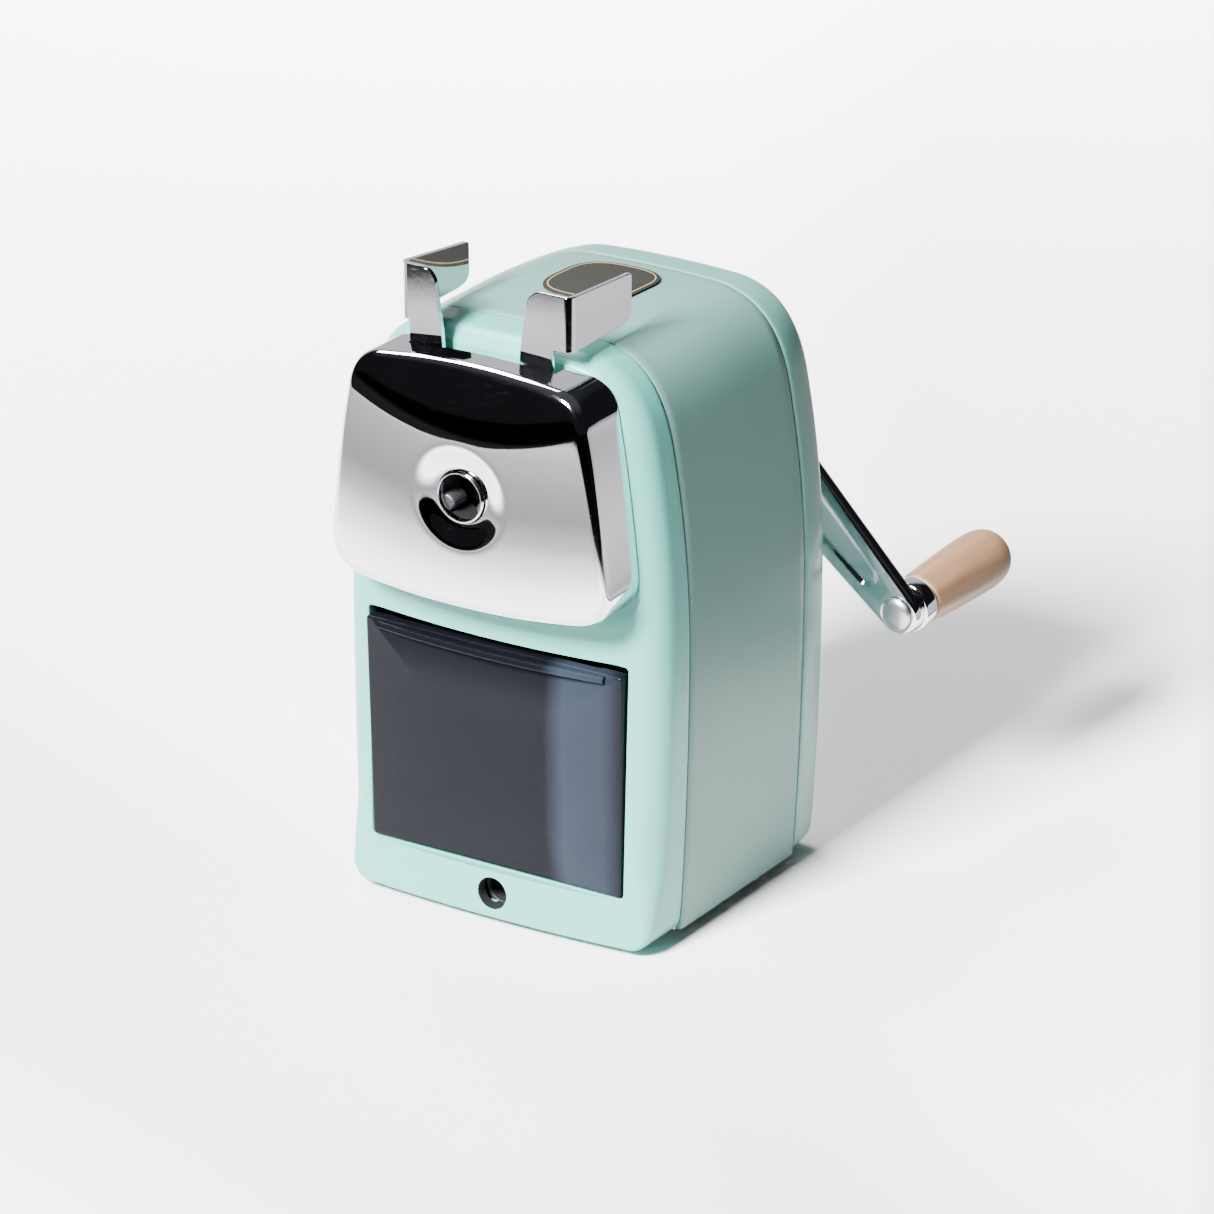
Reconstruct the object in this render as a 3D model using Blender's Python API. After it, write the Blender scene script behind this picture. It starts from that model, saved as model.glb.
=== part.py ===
"""Crank pencil sharpener with a sliding, spring-loaded pencil head and a shavings drawer.

Front is -Y, the crank is at +Y, +Z is up and the table is z = 0. Sizes are in millimetres.
"""
import math

import bmesh
import bpy
from mathutils import Matrix, Vector

MM = 0.001

# Case
BASE_Z = 1.5
BODY_HEIGHT = 111.7
BASE_HALF = 32.1
BELLY_HALF = 34.0
BELLY_HEIGHT = 56.0
UPPER_SIDE_RADIUS = 200.0
SHOULDER_HEIGHT = 95.0
CROWN_HALF = 14.0
CROWN_RADIUS = 270.0
BOTTOM_CORNER = 4.2
SHELL_LIFT = 0.8
FRONT_Y = -30.2
FRONT_SEAM_Y = -17.2
SHELL_Y = (-16.9, 22.2)
REAR_SEAM_Y = 22.5
REAR_Y = 33.8
REAR_FALL_RADIUS = 190.0
REAR_SIDE_RADIUS = 30.0
PLAN_BOW_RADIUS = 168.0
UPPER_BOW_RADIUS = 780.0
LOWER_BOW_RADIUS = 6000.0
PANEL_WALL = 2.2
FRONT_ROUNDS = (0.8, 5.0)
REAR_ROUNDS = (3.0, 3.0)
SHELL_WALL = 1.2
CLAMP_HOLE_Z = 6.6
CLAMP_HOLE_RADIUS = 3.0

# Head, on the pencil axis
AXIS_Z = 86.9
HEAD_FRONT_Y = -40.1
HEAD_WALL = 1.2
HEAD_PLAN_RADIUS = 170.0
PENCIL_BORE = 4.8
RING_RADII = (4.35, 4.8)
POCKET_Y = -27.4
PLATE_Y = (-29.6, -28.4)
JAW_TIP = 2.9
JAW_HALF = 1.6
JAW_Y = (-37.9, -33.6)
JAWS = (("jaw_top", 0.0), ("jaw_lower_left", 120.0), ("jaw_lower_right", 240.0))
LEVER_Y = (-31.0, -30.0)
LEVER_PIN = (12.0, 97.0)
WING_X = 18.0
ROD = (22.0, 80.0)
ROD_RADIUS = 2.0

# Cutting gear, whose two cones share one apex
RING_TEETH = 28
PINION_TEETH = 14
MODULE = 0.75
GEAR_Y = 19.5
TILT = math.radians(10.6)
PINION_OFFSET = PINION_TEETH * MODULE / 2
APEX_Y = GEAR_Y + PINION_OFFSET / math.tan(TILT)
CUTTER_RADIUS = 6.0
CUTTER_LENGTH = 24.0

# Crank
SHAFT_RADIUS = 3.0
ARM_Y = (39.6, 42.3)
ARM_RADII = (8.0, 4.2)
KNOB = (43.3, 46.8)
KNOB_Y = (46.7, 75.2)

# Drawer
DRAWER_Z = (11.7, 54.9)
DRAWER_HALVES = (26.7, 27.4)
DRAWER_FRONT_Y = -31.5


def fresh_scene():
    for item in list(bpy.data.objects):
        bpy.data.objects.remove(item)
    part = bpy.data.collections.new("crank_pencil_sharpener")
    cutters = bpy.data.collections.new("cutters")
    cutters.hide_render = True
    for collection in (part, cutters):
        bpy.context.scene.collection.children.link(collection)
    return part, cutters


PART, CUTTERS = fresh_scene()


def material(name, color, metallic=0.0, roughness=0.5, transmission=0.0):
    made = bpy.data.materials.new(name)
    made.use_nodes = True
    shader = made.node_tree.nodes["Principled BSDF"]
    shader.inputs["Base Color"].default_value = (*color, 1.0)
    shader.inputs["Metallic"].default_value = metallic
    shader.inputs["Roughness"].default_value = roughness
    shader.inputs["Transmission Weight"].default_value = transmission
    made.diffuse_color = (*color, 1.0)
    return made


MINT_PLASTIC = material("mint_plastic", (0.56, 0.74, 0.70), roughness=0.45)
MINT_PAINT = material("mint_paint", (0.52, 0.70, 0.66), roughness=0.35)
CHROME = material("chrome", (0.80, 0.80, 0.83), 1.0, 0.08)
SMOKE = material("smoke_plastic", (0.09, 0.10, 0.12), roughness=0.12, transmission=0.5)
BLACK = material("black_plastic", (0.02, 0.02, 0.02), roughness=0.5)
RUBBER = material("black_rubber", (0.025, 0.025, 0.025), roughness=0.85)
STEEL = material("steel", (0.55, 0.56, 0.58), 1.0, 0.35)
TOOL_STEEL = material("tool_steel", (0.36, 0.37, 0.39), 1.0, 0.3)
GREY = material("grey_plastic", (0.42, 0.43, 0.44), roughness=0.5)
WOOD = material("beige_wood", (0.64, 0.44, 0.30), roughness=0.5)
LABEL = material("label_foil", (0.12, 0.09, 0.07), roughness=0.4)


# ---------------------------------------------------------------- mesh helpers


def finish(name, bm, look, origin=(0, 0, 0), cutter=False):
    """An object from a mesh drawn in millimetres, with its own origin."""
    shift = Vector(origin)
    bmesh.ops.recalc_face_normals(bm, faces=bm.faces)
    if bm.calc_volume(signed=True) < 0:
        bmesh.ops.reverse_faces(bm, faces=bm.faces)
    for vertex in bm.verts:
        vertex.co = (vertex.co - shift) * MM
    mesh = bpy.data.meshes.new(name)
    bm.to_mesh(mesh)
    bm.free()
    for polygon in mesh.polygons:
        polygon.use_smooth = True
    mesh.set_sharp_from_angle(angle=math.radians(35))
    if look:
        mesh.materials.append(look)
    made = bpy.data.objects.new(name, mesh)
    made.location = shift * MM
    if cutter:
        made.hide_render = True
        made.display_type = "WIRE"
    (CUTTERS if cutter else PART).objects.link(made)
    return made


def combine(target, operation, other):
    modifier = target.modifiers.new(other.name, "BOOLEAN")
    modifier.operation = operation
    modifier.solver = "EXACT"
    modifier.object = other


def cut(target, *others):
    for other in others:
        combine(target, "DIFFERENCE", other)


def join(target, *others):
    for other in others:
        combine(target, "UNION", other)


def tool(name, bm):
    return finish(name, bm, None, cutter=True)


def skin(rings, closed=False):
    """A mesh through rings of equal length; a ring of one point is a pole."""
    bm = bmesh.new()
    loops = [[bm.verts.new(point) for point in ring] for ring in rings]
    pairs = list(zip(loops, loops[1:]))
    if closed:
        pairs.append((loops[-1], loops[0]))
    for first, second in pairs:
        count = max(len(first), len(second))
        for i in range(count):
            k = (i + 1) % count
            corners = [first[i % len(first)], first[k % len(first)]]
            corners += [second[k % len(second)], second[i % len(second)]]
            unique = list(dict.fromkeys(corners))
            bm.faces.new(unique)
    if not closed:
        for loop in (loops[0], loops[-1]):
            if len(loop) > 1:
                bm.faces.new(loop)
    return bm


def lathe(profile, centre=(0, 0, 0), tilt=0.0, steps=32, closed=False):
    """Turns (radius, y) points about a line through centre, along Y or tilted from it towards +Z."""
    turn = Matrix.Rotation(tilt, 3, "X")
    rings = []
    for radius, along in profile:
        spots = steps if radius > 0 else 1
        ring = []
        for i in range(spots):
            angle = 2 * math.pi * i / steps
            point = Vector((radius * math.cos(angle), along, radius * math.sin(angle)))
            ring.append(Vector(centre) + turn @ point)
        rings.append(ring)
    return skin(rings, closed)


def rod(radius, y0, y1, x=0.0, z=0.0, steps=24, tilt=0.0):
    return lathe([(radius, y0), (radius, y1)], (x, 0, z), tilt, steps)


def pipe(inner, outer, y0, y1, x=0.0, z=0.0, steps=32):
    profile = [(inner, y0), (outer, y0), (outer, y1), (inner, y1)]
    return lathe(profile, (x, 0, z), steps=steps, closed=True)


def block(x, y, z):
    low = [x[0], y[0], z[0]]
    high = [x[1], y[1], z[1]]
    rings = []
    for level in (low[2], high[2]):
        corners = ((low[0], low[1]), (high[0], low[1]), (high[0], high[1]), (low[0], high[1]))
        rings.append([Vector((a, b, level)) for a, b in corners])
    return skin(rings)


def prism(outline, y0, y1):
    """An (x, z) outline drawn along Y."""
    return skin([[Vector((x, y, z)) for x, z in outline] for y in (y0, y1)])


def rounded_rectangle(half_x, z, radius, steps=4):
    outline = []
    centres = (
        (half_x - radius, z[0] + radius, -90),
        (half_x - radius, z[1] - radius, 0),
        (radius - half_x, z[1] - radius, 90),
        (radius - half_x, z[0] + radius, 180),
    )
    for x, height, start in centres:
        for i in range(steps + 1):
            angle = math.radians(start + 90 * i / steps)
            outline.append((x + radius * math.cos(angle), height + radius * math.sin(angle)))
    return outline


def inset(outline, amount, closed=True):
    """The outline moved inwards, by one amount or one for each point; it runs anticlockwise."""
    moved = []
    count = len(outline)
    amounts = amount if isinstance(amount, list) else [amount] * count
    for i, (x, z) in enumerate(outline):
        before = outline[(i - 1) % count] if closed or i else outline[i]
        after = outline[(i + 1) % count] if closed or i < count - 1 else outline[i]
        run = Vector((after[0] - before[0], after[1] - before[1])).normalized()
        moved.append((x - run.y * amounts[i], z + run.x * amounts[i]))
    return moved


def shrunk(outline, share, middle_z):
    """The outline drawn smaller about its middle."""
    return [(x * share, middle_z + (z - middle_z) * share) for x, z in outline]


def bend(start, control, end, steps):
    """Points of a soft corner after its start."""
    points = []
    for i in range(1, steps + 1):
        t = i / steps
        weights = ((1 - t) ** 2, 2 * t * (1 - t), t * t)
        points.append(
            tuple(sum(w * p[k] for w, p in zip(weights, (start, control, end))) for k in (0, 1))
        )
    return points


def mirrored(right):
    """A closed outline from its right half, bottom centre to top centre."""
    left = [(-x, z) for x, z in reversed(right) if abs(x) > 1e-6]
    return right + left


def sweep(path, radius, sides=6):
    """A round wire along a path, with flat ends."""
    rings = []
    for i, point in enumerate(path):
        ahead = path[min(i + 1, len(path) - 1)]
        behind = path[max(i - 1, 0)]
        run = (ahead - behind).normalized()
        across = run.cross(Vector((0.12, 0.2, 0.97))).normalized()
        upward = run.cross(across)
        ring = []
        for k in range(sides):
            angle = 2 * math.pi * k / sides
            ring.append(point + radius * (math.cos(angle) * across + math.sin(angle) * upward))
        rings.append(ring)
    return skin(rings)


# ---------------------------------------------------------------- shared shapes


def side_half(height):
    """Half-width of the body at a height over its bottom edge."""
    if height < BELLY_HEIGHT:
        share = (BELLY_HEIGHT - height) / BELLY_HEIGHT
        return BELLY_HALF - (BELLY_HALF - BASE_HALF) * share**2
    return BELLY_HALF - (height - BELLY_HEIGHT) ** 2 / (2 * UPPER_SIDE_RADIUS)


def body_right(rounded_bottom):
    """Right half of the body's front view, from the bottom to the top centre."""
    points = []
    if rounded_bottom:
        points.append((0.0, 0.0))
        points.append((14.0, 0.0))
        corner = BASE_HALF + 0.2
        for i in range(5):
            angle = math.radians(-90 + 90 * i / 4)
            x = corner - BOTTOM_CORNER * (1 - math.cos(angle))
            points.append((x, BOTTOM_CORNER * (1 + math.sin(angle))))
        heights = (12, 20, 34, 48, 62, 75, 86, SHOULDER_HEIGHT)
    else:
        heights = (SHELL_LIFT, 7, 20, 34, 48, 62, 75, 86, SHOULDER_HEIGHT)
    points += [(side_half(height), height) for height in heights]
    slope = (SHOULDER_HEIGHT - BELLY_HEIGHT) / UPPER_SIDE_RADIUS
    crown = BODY_HEIGHT - CROWN_HALF**2 / (2 * CROWN_RADIUS)
    run = points[-1][0] - CROWN_HALF
    fall = CROWN_HALF / CROWN_RADIUS
    rise = (crown - SHOULDER_HEIGHT - fall * run) / (1 - fall * slope)
    control = (points[-1][0] - slope * rise, SHOULDER_HEIGHT + rise)
    points += bend(points[-1], control, (CROWN_HALF, crown), 7)
    points.append((0.0, BODY_HEIGHT))
    return [(x, z + BASE_Z) for x, z in points]


def face_y(x, z):
    """Bowed front face of the front panel."""
    height = z - BASE_Z - BELLY_HEIGHT
    radius = UPPER_BOW_RADIUS if height > 0 else LOWER_BOW_RADIUS
    flatter = 1.0 - 0.45 * min(height / BELLY_HEIGHT, 0.0) ** 2
    return FRONT_Y + flatter * x**2 / (2 * PLAN_BOW_RADIUS) + height**2 / (2 * radius)


def rear_y(x, z):
    """Slightly bowed back of the rear panel."""
    return REAR_Y - x**2 / 1200.0 - (z - BASE_Z - BELLY_HEIGHT) ** 2 / 4000.0


def drawer_y(x, z):
    """Flatter front of the drawer, which stands proud of the panel."""
    return DRAWER_FRONT_Y + x**2 / (2 * PLAN_BOW_RADIUS) + (z - BASE_Z - BELLY_HEIGHT) ** 2 * 0.00035


def lower_rear(bm):
    """Lets the top fall away gently towards the back."""
    for vertex in bm.verts:
        share = max(0.0, (vertex.co.z - BASE_Z - BELLY_HEIGHT) / BELLY_HEIGHT)
        vertex.co.z -= share * max(0.0, vertex.co.y) ** 2 / (2 * REAR_FALL_RADIUS)
    return bm


def narrow_rear(bm):
    """Curves the rear panel's sides gently inwards towards its back."""
    for vertex in bm.verts:
        run = min(max(vertex.co.y - REAR_SEAM_Y, 0.0), 12.0)
        taper = REAR_SIDE_RADIUS - math.sqrt(REAR_SIDE_RADIUS**2 - run**2)
        vertex.co.x -= taper * max(-1.0, min(1.0, vertex.co.x / BELLY_HALF))
    return bm


def head_outline(grow=0.0):
    right = [(0.0, 65.3), (11.5, 65.5), (22.5, 66.3)]
    right += bend((22.5, 66.3), (29.3, 66.9), (29.4, 73.5), 5)
    right += [(28.7, 80.5), (27.75, 87.8), (26.6, 95.2), (25.2, 102.5)]
    right += bend((25.2, 102.5), (24.3, 109.6), (18.0, 110.0), 5)
    right += [(9.0, 110.9), (0.0, 111.2)]
    return inset(mirrored(right), -grow)


def head_y(x, z):
    """Pillowed front face of the head."""
    pillow = (z - 88.0) ** 2 * 0.0012
    above = max(z - 96.3 - (x / 24.0) ** 2 * 4.0, 0.0)
    top_roll = 0.1 * above * above / (above + 1.6) + 0.0055 * above * above
    return HEAD_FRONT_Y + x**2 / (2 * HEAD_PLAN_RADIUS) + pillow + top_roll


def cutter_offset(y):
    """Distance of the tilted cutter axis over the pencil axis."""
    return (APEX_Y - y) * math.tan(TILT)


# ---------------------------------------------------------------- case


def cup(outline, face, way, rounds, wall, seam_y):
    """A shallow panel open at its seam; way is +1 towards +Y, rounds the bottom and other radii."""
    middle = (0.0, BASE_Z + BELLY_HEIGHT)
    growth = rounds[1] - rounds[0]
    radii = [rounds[0] + growth * min(1.0, (z - BASE_Z) / 16.0) for x, z in outline]
    rings = []
    for depth, shares in ((0.0, (0.35, 0.7)), (wall, (0.6,))):
        sheet = [[Vector((middle[0], face(*middle) - way * depth, middle[1]))]]
        for share in shares:
            loop = shrunk(outline, share, middle[1])
            sheet.append([Vector((x, face(x, z) - way * depth, z)) for x, z in loop])
        angles = (90, 66, 44, 22, 0) if depth == 0 else (90, 45, 0)
        inner = [max(radius - depth, 0.4) for radius in radii]
        for angle in angles:
            lean = math.radians(angle)
            loop = inset(outline, [depth + radius * (1 - math.cos(lean)) for radius in inner])
            drops = [depth + radius * (1 - math.sin(lean)) for radius in inner]
            placed = zip(loop, drops)
            sheet.append([Vector((x, face(x, z) - way * drop, z)) for (x, z), drop in placed])
        loop = inset(outline, depth)
        start = sheet[-1]
        sheet.append([Vector((x, (p.y + seam_y) / 2, z)) for p, (x, z) in zip(start, loop)])
        sheet.append([Vector((x, seam_y, z)) for x, z in loop])
        rings += sheet if depth == 0 else sheet[::-1]
    return skin(rings)


def front_panel():
    outline = mirrored(body_right(True))
    shape = cup(outline, face_y, -1, FRONT_ROUNDS, PANEL_WALL, FRONT_SEAM_Y)
    panel = finish("front_panel", shape, MINT_PLASTIC)
    edge = inset(head_outline(), 0.6)
    backing = [[Vector((x, face_y(x, z) + 1.5, z)) for x, z in edge]]
    backing.append([Vector((x, -25.4, z)) for x, z in edge])
    join(panel, tool("pocket_backing", skin(backing)))
    rim = head_outline(1.6)
    recess = [[Vector((x, face_y(x, z) + 0.8, z)) for x, z in inset(rim, 0.7)]]
    recess.append([Vector((x, face_y(x, z), z)) for x, z in rim])
    recess.append([Vector((x, face_y(x, z) - 1.2, z)) for x, z in inset(rim, -0.9)])
    flat = [[Vector((0, face_y(0, AXIS_Z) + 0.8, AXIS_Z))]]
    for share in (0.35, 0.7):
        loop = shrunk(head_outline(), share, AXIS_Z)
        flat.append([Vector((x, face_y(x, z) + 0.8, z)) for x, z in loop])
    cut(panel, tool("head_recess", skin(flat + recess + [[Vector((0, -36, AXIS_Z))]])))
    cut(panel, tool("head_pocket", prism(inset(head_outline(), 1.0), -34, POCKET_Y)))
    low, high = DRAWER_Z
    narrow, wide = [half + 0.35 for half in DRAWER_HALVES]
    mouth = [(-narrow, low - 0.3), (narrow, low - 0.3), (wide, high + 1.5), (-wide, high + 1.5)]
    cut(panel, tool("drawer_mouth", prism(mouth, -40, -17.6)))
    cut(panel, tool("socket_clearance", block((-7.3, 7.3), (-26.6, 4.3), (-3, 10.8))))
    cut(panel, tool("clamp_mouth", rod(CLAMP_HOLE_RADIUS, -40, -20, z=CLAMP_HOLE_Z)))
    cut(panel, tool("pencil_passage", rod(PENCIL_BORE, -40, -20, z=AXIS_Z)))
    for side, way in (("left", -1), ("right", 1)):
        cut(panel, tool(f"bushing_hole_{side}", rod(3.7, -40, -20, way * ROD[0], ROD[1])))


def body_shell():
    right = body_right(False)
    outer = right + [(-x, z) for x, z in reversed(right[:-1])]
    inner = inset(outer, SHELL_WALL, closed=False)
    inner[0] = (outer[0][0] - SHELL_WALL, BASE_Z + SHELL_LIFT)
    inner[-1] = (outer[-1][0] + SHELL_WALL, BASE_Z + SHELL_LIFT)
    section = outer + inner[::-1]
    bm = bmesh.new()
    loops = []
    for y in (SHELL_Y[0], 0.0, 8.0, 15.0, SHELL_Y[1]):
        loops.append([bm.verts.new((x, y, z)) for x, z in section])
    count = len(outer)
    for front, rear in zip(loops, loops[1:]):
        for i in range(2 * count):
            k = (i + 1) % (2 * count)
            bm.faces.new((front[i], front[k], rear[k], rear[i]))
    for loop in (loops[0], loops[-1]):
        for i in range(count - 1):
            bm.faces.new((loop[i], loop[i + 1], loop[2 * count - 2 - i], loop[2 * count - 1 - i]))
    finish("body_shell", lower_rear(bm), MINT_PAINT)


def rear_panel():
    outline = mirrored(body_right(True))
    shape = cup(outline, rear_y, 1, REAR_ROUNDS, PANEL_WALL, REAR_SEAM_Y)
    panel = finish("rear_panel", narrow_rear(lower_rear(shape)), MINT_PLASTIC)
    cut(panel, tool("housing_hole", rod(16.8, 20, 40, z=AXIS_Z, steps=40)))
    for side, x in (("left", -22.0), ("right", 22.0)):
        cut(panel, tool(f"rear_screw_hole_{side}", rod(1.8, 20, 40, x, 30.0, 16)))


def rear_screws():
    for side, x in (("left", -22.0), ("right", 22.0)):
        profile = [(0, 28.0), (1.5, 28.0), (1.5, 33.8), (3.2, 33.8), (2.9, 34.8)]
        profile += [(1.6, 35.3), (0, 35.4)]
        finish(f"rear_screw_{side}", lathe(profile, (x, 0, 30.0), steps=16), STEEL)


def upright(profile, x, y, steps=16):
    """Turns (radius, z) points about a vertical line."""
    rings = []
    for radius, z in profile:
        angles = [2 * math.pi * i / steps for i in range(steps)]
        rings.append([Vector((x + radius * math.cos(a), y + radius * math.sin(a), z)) for a in angles])
    return skin(rings)


def base_plate():
    plate = finish("base_plate", block((-30.4, 30.4), (-16.6, 22.0), (1.6, 3.0)), STEEL)
    cut(plate, tool("plate_notch", block((-7.3, 7.3), (-30, 4.3), (-3, 9))))
    for side, x in (("left", -29.0), ("right", 29.0)):
        cut(plate, tool(f"base_screw_hole_{side}", upright([(1.2, -2), (1.2, 6)], x, 12.0)))


def base_pad():
    pad = []
    for z, grow in ((0.0, 0.0), (0.9, 0.0), (1.3, -0.4)):
        outline = rounded_rectangle(26.5 + grow, (-22.5 - grow, 22.5 + grow), 6.0 + grow)
        pad.append([Vector((x, y, z)) for x, y in outline])
    finish("base_pad", skin(pad), RUBBER)


def base_screws():
    for side, x in (("left", -29.0), ("right", 29.0)):
        screw = upright([(1.7, 0.7), (1.7, 1.3), (0.9, 1.3), (0.9, 5.0)], x, 12.0)
        finish(f"base_screw_{side}", screw, STEEL)


def clamp_socket():
    socket = finish("clamp_socket", block((-7.0, 7.0), (-26.3, 4.0), (1.6, 10.5)), BLACK)
    cut(socket, tool("clamp_bore", rod(CLAMP_HOLE_RADIUS, -40, 0, z=CLAMP_HOLE_Z, steps=32)))


def top_label():
    """A plain plate with round corners that follows the curved top."""
    outline = rounded_rectangle(9.0, (-3.5, 17.5), 7.0)
    crown = BASE_Z + BODY_HEIGHT
    rings = [[Vector((0, 7, crown + 0.15))]]
    for rise, edge in ((0.15, 0.0), (0.35, 0.0), (0.5, 0.2)):
        loop = inset(outline, edge)
        rings.append([Vector((x, y, crown + rise - x**2 / (2 * CROWN_RADIUS))) for x, y in loop])
    rings.append([Vector((0, 7, crown + 0.5))])
    finish("top_label", lower_rear(skin(rings)), LABEL)


def drawer_guide():
    wall = [(-26.2, 11.1), (26.2, 11.1), (26.2, 50), (25.1, 50), (25.1, 12.1)]
    wall += [(-25.1, 12.1), (-25.1, 50), (-26.2, 50)]
    finish("drawer_guide", prism(wall, -24.0, 22.0), STEEL)


def front_bearing():
    profile = [(6.6, -25.1), (11.0, -25.1), (11.0, -23.9), (8.6, -23.4), (8.6, -14.5), (6.6, -14.5)]
    finish("front_bearing", lathe(profile, (0, 0, AXIS_Z), steps=24, closed=True), GREY)


def rod_bushings():
    for side, way in (("left", -1), ("right", 1)):
        profile = [(2.3, -27.6), (3.4, -27.6), (3.4, -25.1), (4.6, -25.1), (4.6, -23.9), (2.3, -23.9)]
        bm = lathe(profile, (way * ROD[0], 0, ROD[1]), steps=20, closed=True)
        finish(f"rod_bushing_{side}", bm, GREY)


def mechanism_housing():
    profile = [
        (14.8, 16.6), (16.5, 16.6), (16.5, 34.1), (18.5, 34.1), (18.5, 35.1), (17.6, 35.8),
        (8.6, 35.8), (8.0, 37.2), (3.3, 37.2), (3.3, 29.4), (14.8, 29.4),
    ]
    finish("mechanism_housing", lathe(profile, (0, 0, AXIS_Z), steps=36, closed=True), GREY)


# ---------------------------------------------------------------- drawer


def drawer():
    low, high = DRAWER_Z
    narrow, wide = DRAWER_HALVES
    levels = 5
    columns = 9
    rings = []
    for thick in (0.0, 2.8):
        grid = []
        for k in range(levels):
            z = low + (high - low) * k / (levels - 1)
            half = narrow + (wide - narrow) * k / (levels - 1)
            row = []
            for i in range(columns):
                x = half * (2 * i / (columns - 1) - 1)
                row.append(Vector((x, drawer_y(x, z) + thick, z)))
            grid.append(row)
        rings.append(grid)
    bm = bmesh.new()
    sheets = [[[bm.verts.new(point) for point in row] for row in grid] for grid in rings]
    for sheet in sheets:
        for k in range(levels - 1):
            for i in range(columns - 1):
                bm.faces.new((sheet[k][i], sheet[k][i + 1], sheet[k + 1][i + 1], sheet[k + 1][i]))
    edge = []
    for sheet in sheets:
        loop = list(sheet[0])
        loop += [row[-1] for row in sheet[1:]]
        loop += list(reversed(sheet[-1][:-1]))
        loop += [row[0] for row in reversed(sheet[1:-1])]
        edge.append(loop)
    for i in range(len(edge[0])):
        k = (i + 1) % len(edge[0])
        bm.faces.new((edge[0][i], edge[0][k], edge[1][k], edge[1][i]))
    box = finish("drawer", bm, SMOKE, (0, FRONT_Y, 33.0))
    join(box, tool("drawer_tray", tray_shape(24.4, 1.0, 19.5, 12.4, 49.0)))
    cut(box, tool("drawer_hollow", tray_shape(22.9, 2.8, 18.0, 13.9, 60.0)))
    lip = [(-32.3, 53.5), (-29.6, 53.0), (-29.6, 54.7), (-32.0, 54.7)]
    rings = []
    for x in (-24.0, 24.0):
        sag = x**2 / (2 * PLAN_BOW_RADIUS)
        rings.append([Vector((x, y + sag, z)) for y, z in lip])
    rings.insert(1, [Vector((0, y, z)) for y, z in lip])
    join(box, tool("drawer_lip", skin(rings)))


def tray_shape(half, behind, rear, low, high):
    """A box whose front follows the bowed face."""
    rings = []
    for share in (-1.0, -0.5, 0.0, 0.5, 1.0):
        x = half * share
        front = [(drawer_y(x, z) + behind, z) for z in (high, (low + high) / 2, low)]
        rings.append([Vector((x, y, z)) for y, z in front + [(rear, low), (rear, high)]])
    return skin(rings)


# ---------------------------------------------------------------- head


def head_cover():
    outline = head_outline()
    rings = []
    for depth, shares in ((0.0, (0.4, 0.75)), (HEAD_WALL, (0.6,))):
        sheet = [[Vector((0, head_y(0, AXIS_Z) + depth, AXIS_Z))]]
        for share in shares:
            loop = shrunk(outline, share, AXIS_Z)
            sheet.append([Vector((x, head_y(x, z) + depth, z)) for x, z in loop])
        angles = (90, 60, 30, 0) if depth == 0 else (90, 0)
        radius = 1.7 - depth
        for angle in angles:
            lean = math.radians(angle)
            drop = depth + radius * (1 - math.sin(lean))
            loop = inset(outline, depth + radius * (1 - math.cos(lean)))
            sheet.append([Vector((x, head_y(x, z) + drop, z)) for x, z in loop])
        loop = inset(outline, depth)
        sheet.append([Vector((x, face_y(x, z) + 0.5, z)) for x, z in loop])
        rings += sheet if depth == 0 else sheet[::-1]
    cover = finish("head_cover", skin(rings), CHROME, (0, HEAD_FRONT_Y, AXIS_Z))
    boss = [(0, -39.2), (11.5, -39.2), (11.5, -38.2), (0, -38.2)]
    join(cover, tool("funnel_boss", lathe(boss, (0, 0, AXIS_Z), steps=32)))
    funnel = [(0, -44), (13.0, -44), (10.6, -40.4), (8.2, -39.95), (6.6, -39.5), (5.1, -39.0)]
    funnel += [(5.1, -36), (0, -36)]
    cut(cover, tool("funnel", lathe(funnel, (0, 0, AXIS_Z), steps=32)))
    cut(cover, tool("lever_slot", block((-16.4, 14.6), (-31.5, -20), (104, 120))))


def head_back_plate():
    outline = inset(head_outline(), 1.7)
    plate = finish("head_back_plate", prism(outline, *PLATE_Y), STEEL)
    cut(plate, tool("plate_bore", rod(5.2, -40, -20, z=AXIS_Z)))
    for side, way in (("left", -1), ("right", 1)):
        rod_hole = rod(2.3, -40, -20, way * ROD[0], ROD[1], 16)
        pin_hole = rod(1.3, -40, -20, way * LEVER_PIN[0], LEVER_PIN[1], 12)
        cut(plate, tool(f"plate_rod_hole_{side}", rod_hole), tool(f"plate_pin_hole_{side}", pin_hole))


def inlet_ring():
    inner, outer = RING_RADII
    profile = [(inner, -39.4), (inner + 0.12, -39.65), (outer - 0.12, -39.65), (outer, -39.4)]
    profile += [(outer, -38.3), (inner, -38.3)]
    finish("inlet_ring", lathe(profile, (0, 0, AXIS_Z), steps=40, closed=True), CHROME)


def chuck_housing():
    housing = finish("chuck_housing", pipe(PENCIL_BORE, 10.6, -37.9, -32.0, z=AXIS_Z, steps=40), GREY)
    for name, angle in JAWS:
        slot = block((-2.0, 2.0), (-41, -33.3), (0, 9.9))
        cut(housing, tool(f"{name}_slot", turned(slot, angle)))


def turned(bm, angle):
    """Turns a piece drawn on the +Z side of the Y axis, and sets it on the pencil axis."""
    turn = Matrix.Translation((0, 0, AXIS_Z)) @ Matrix.Rotation(math.radians(-angle), 4, "Y")
    bmesh.ops.transform(bm, matrix=turn, verts=bm.verts)
    return bm


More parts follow.
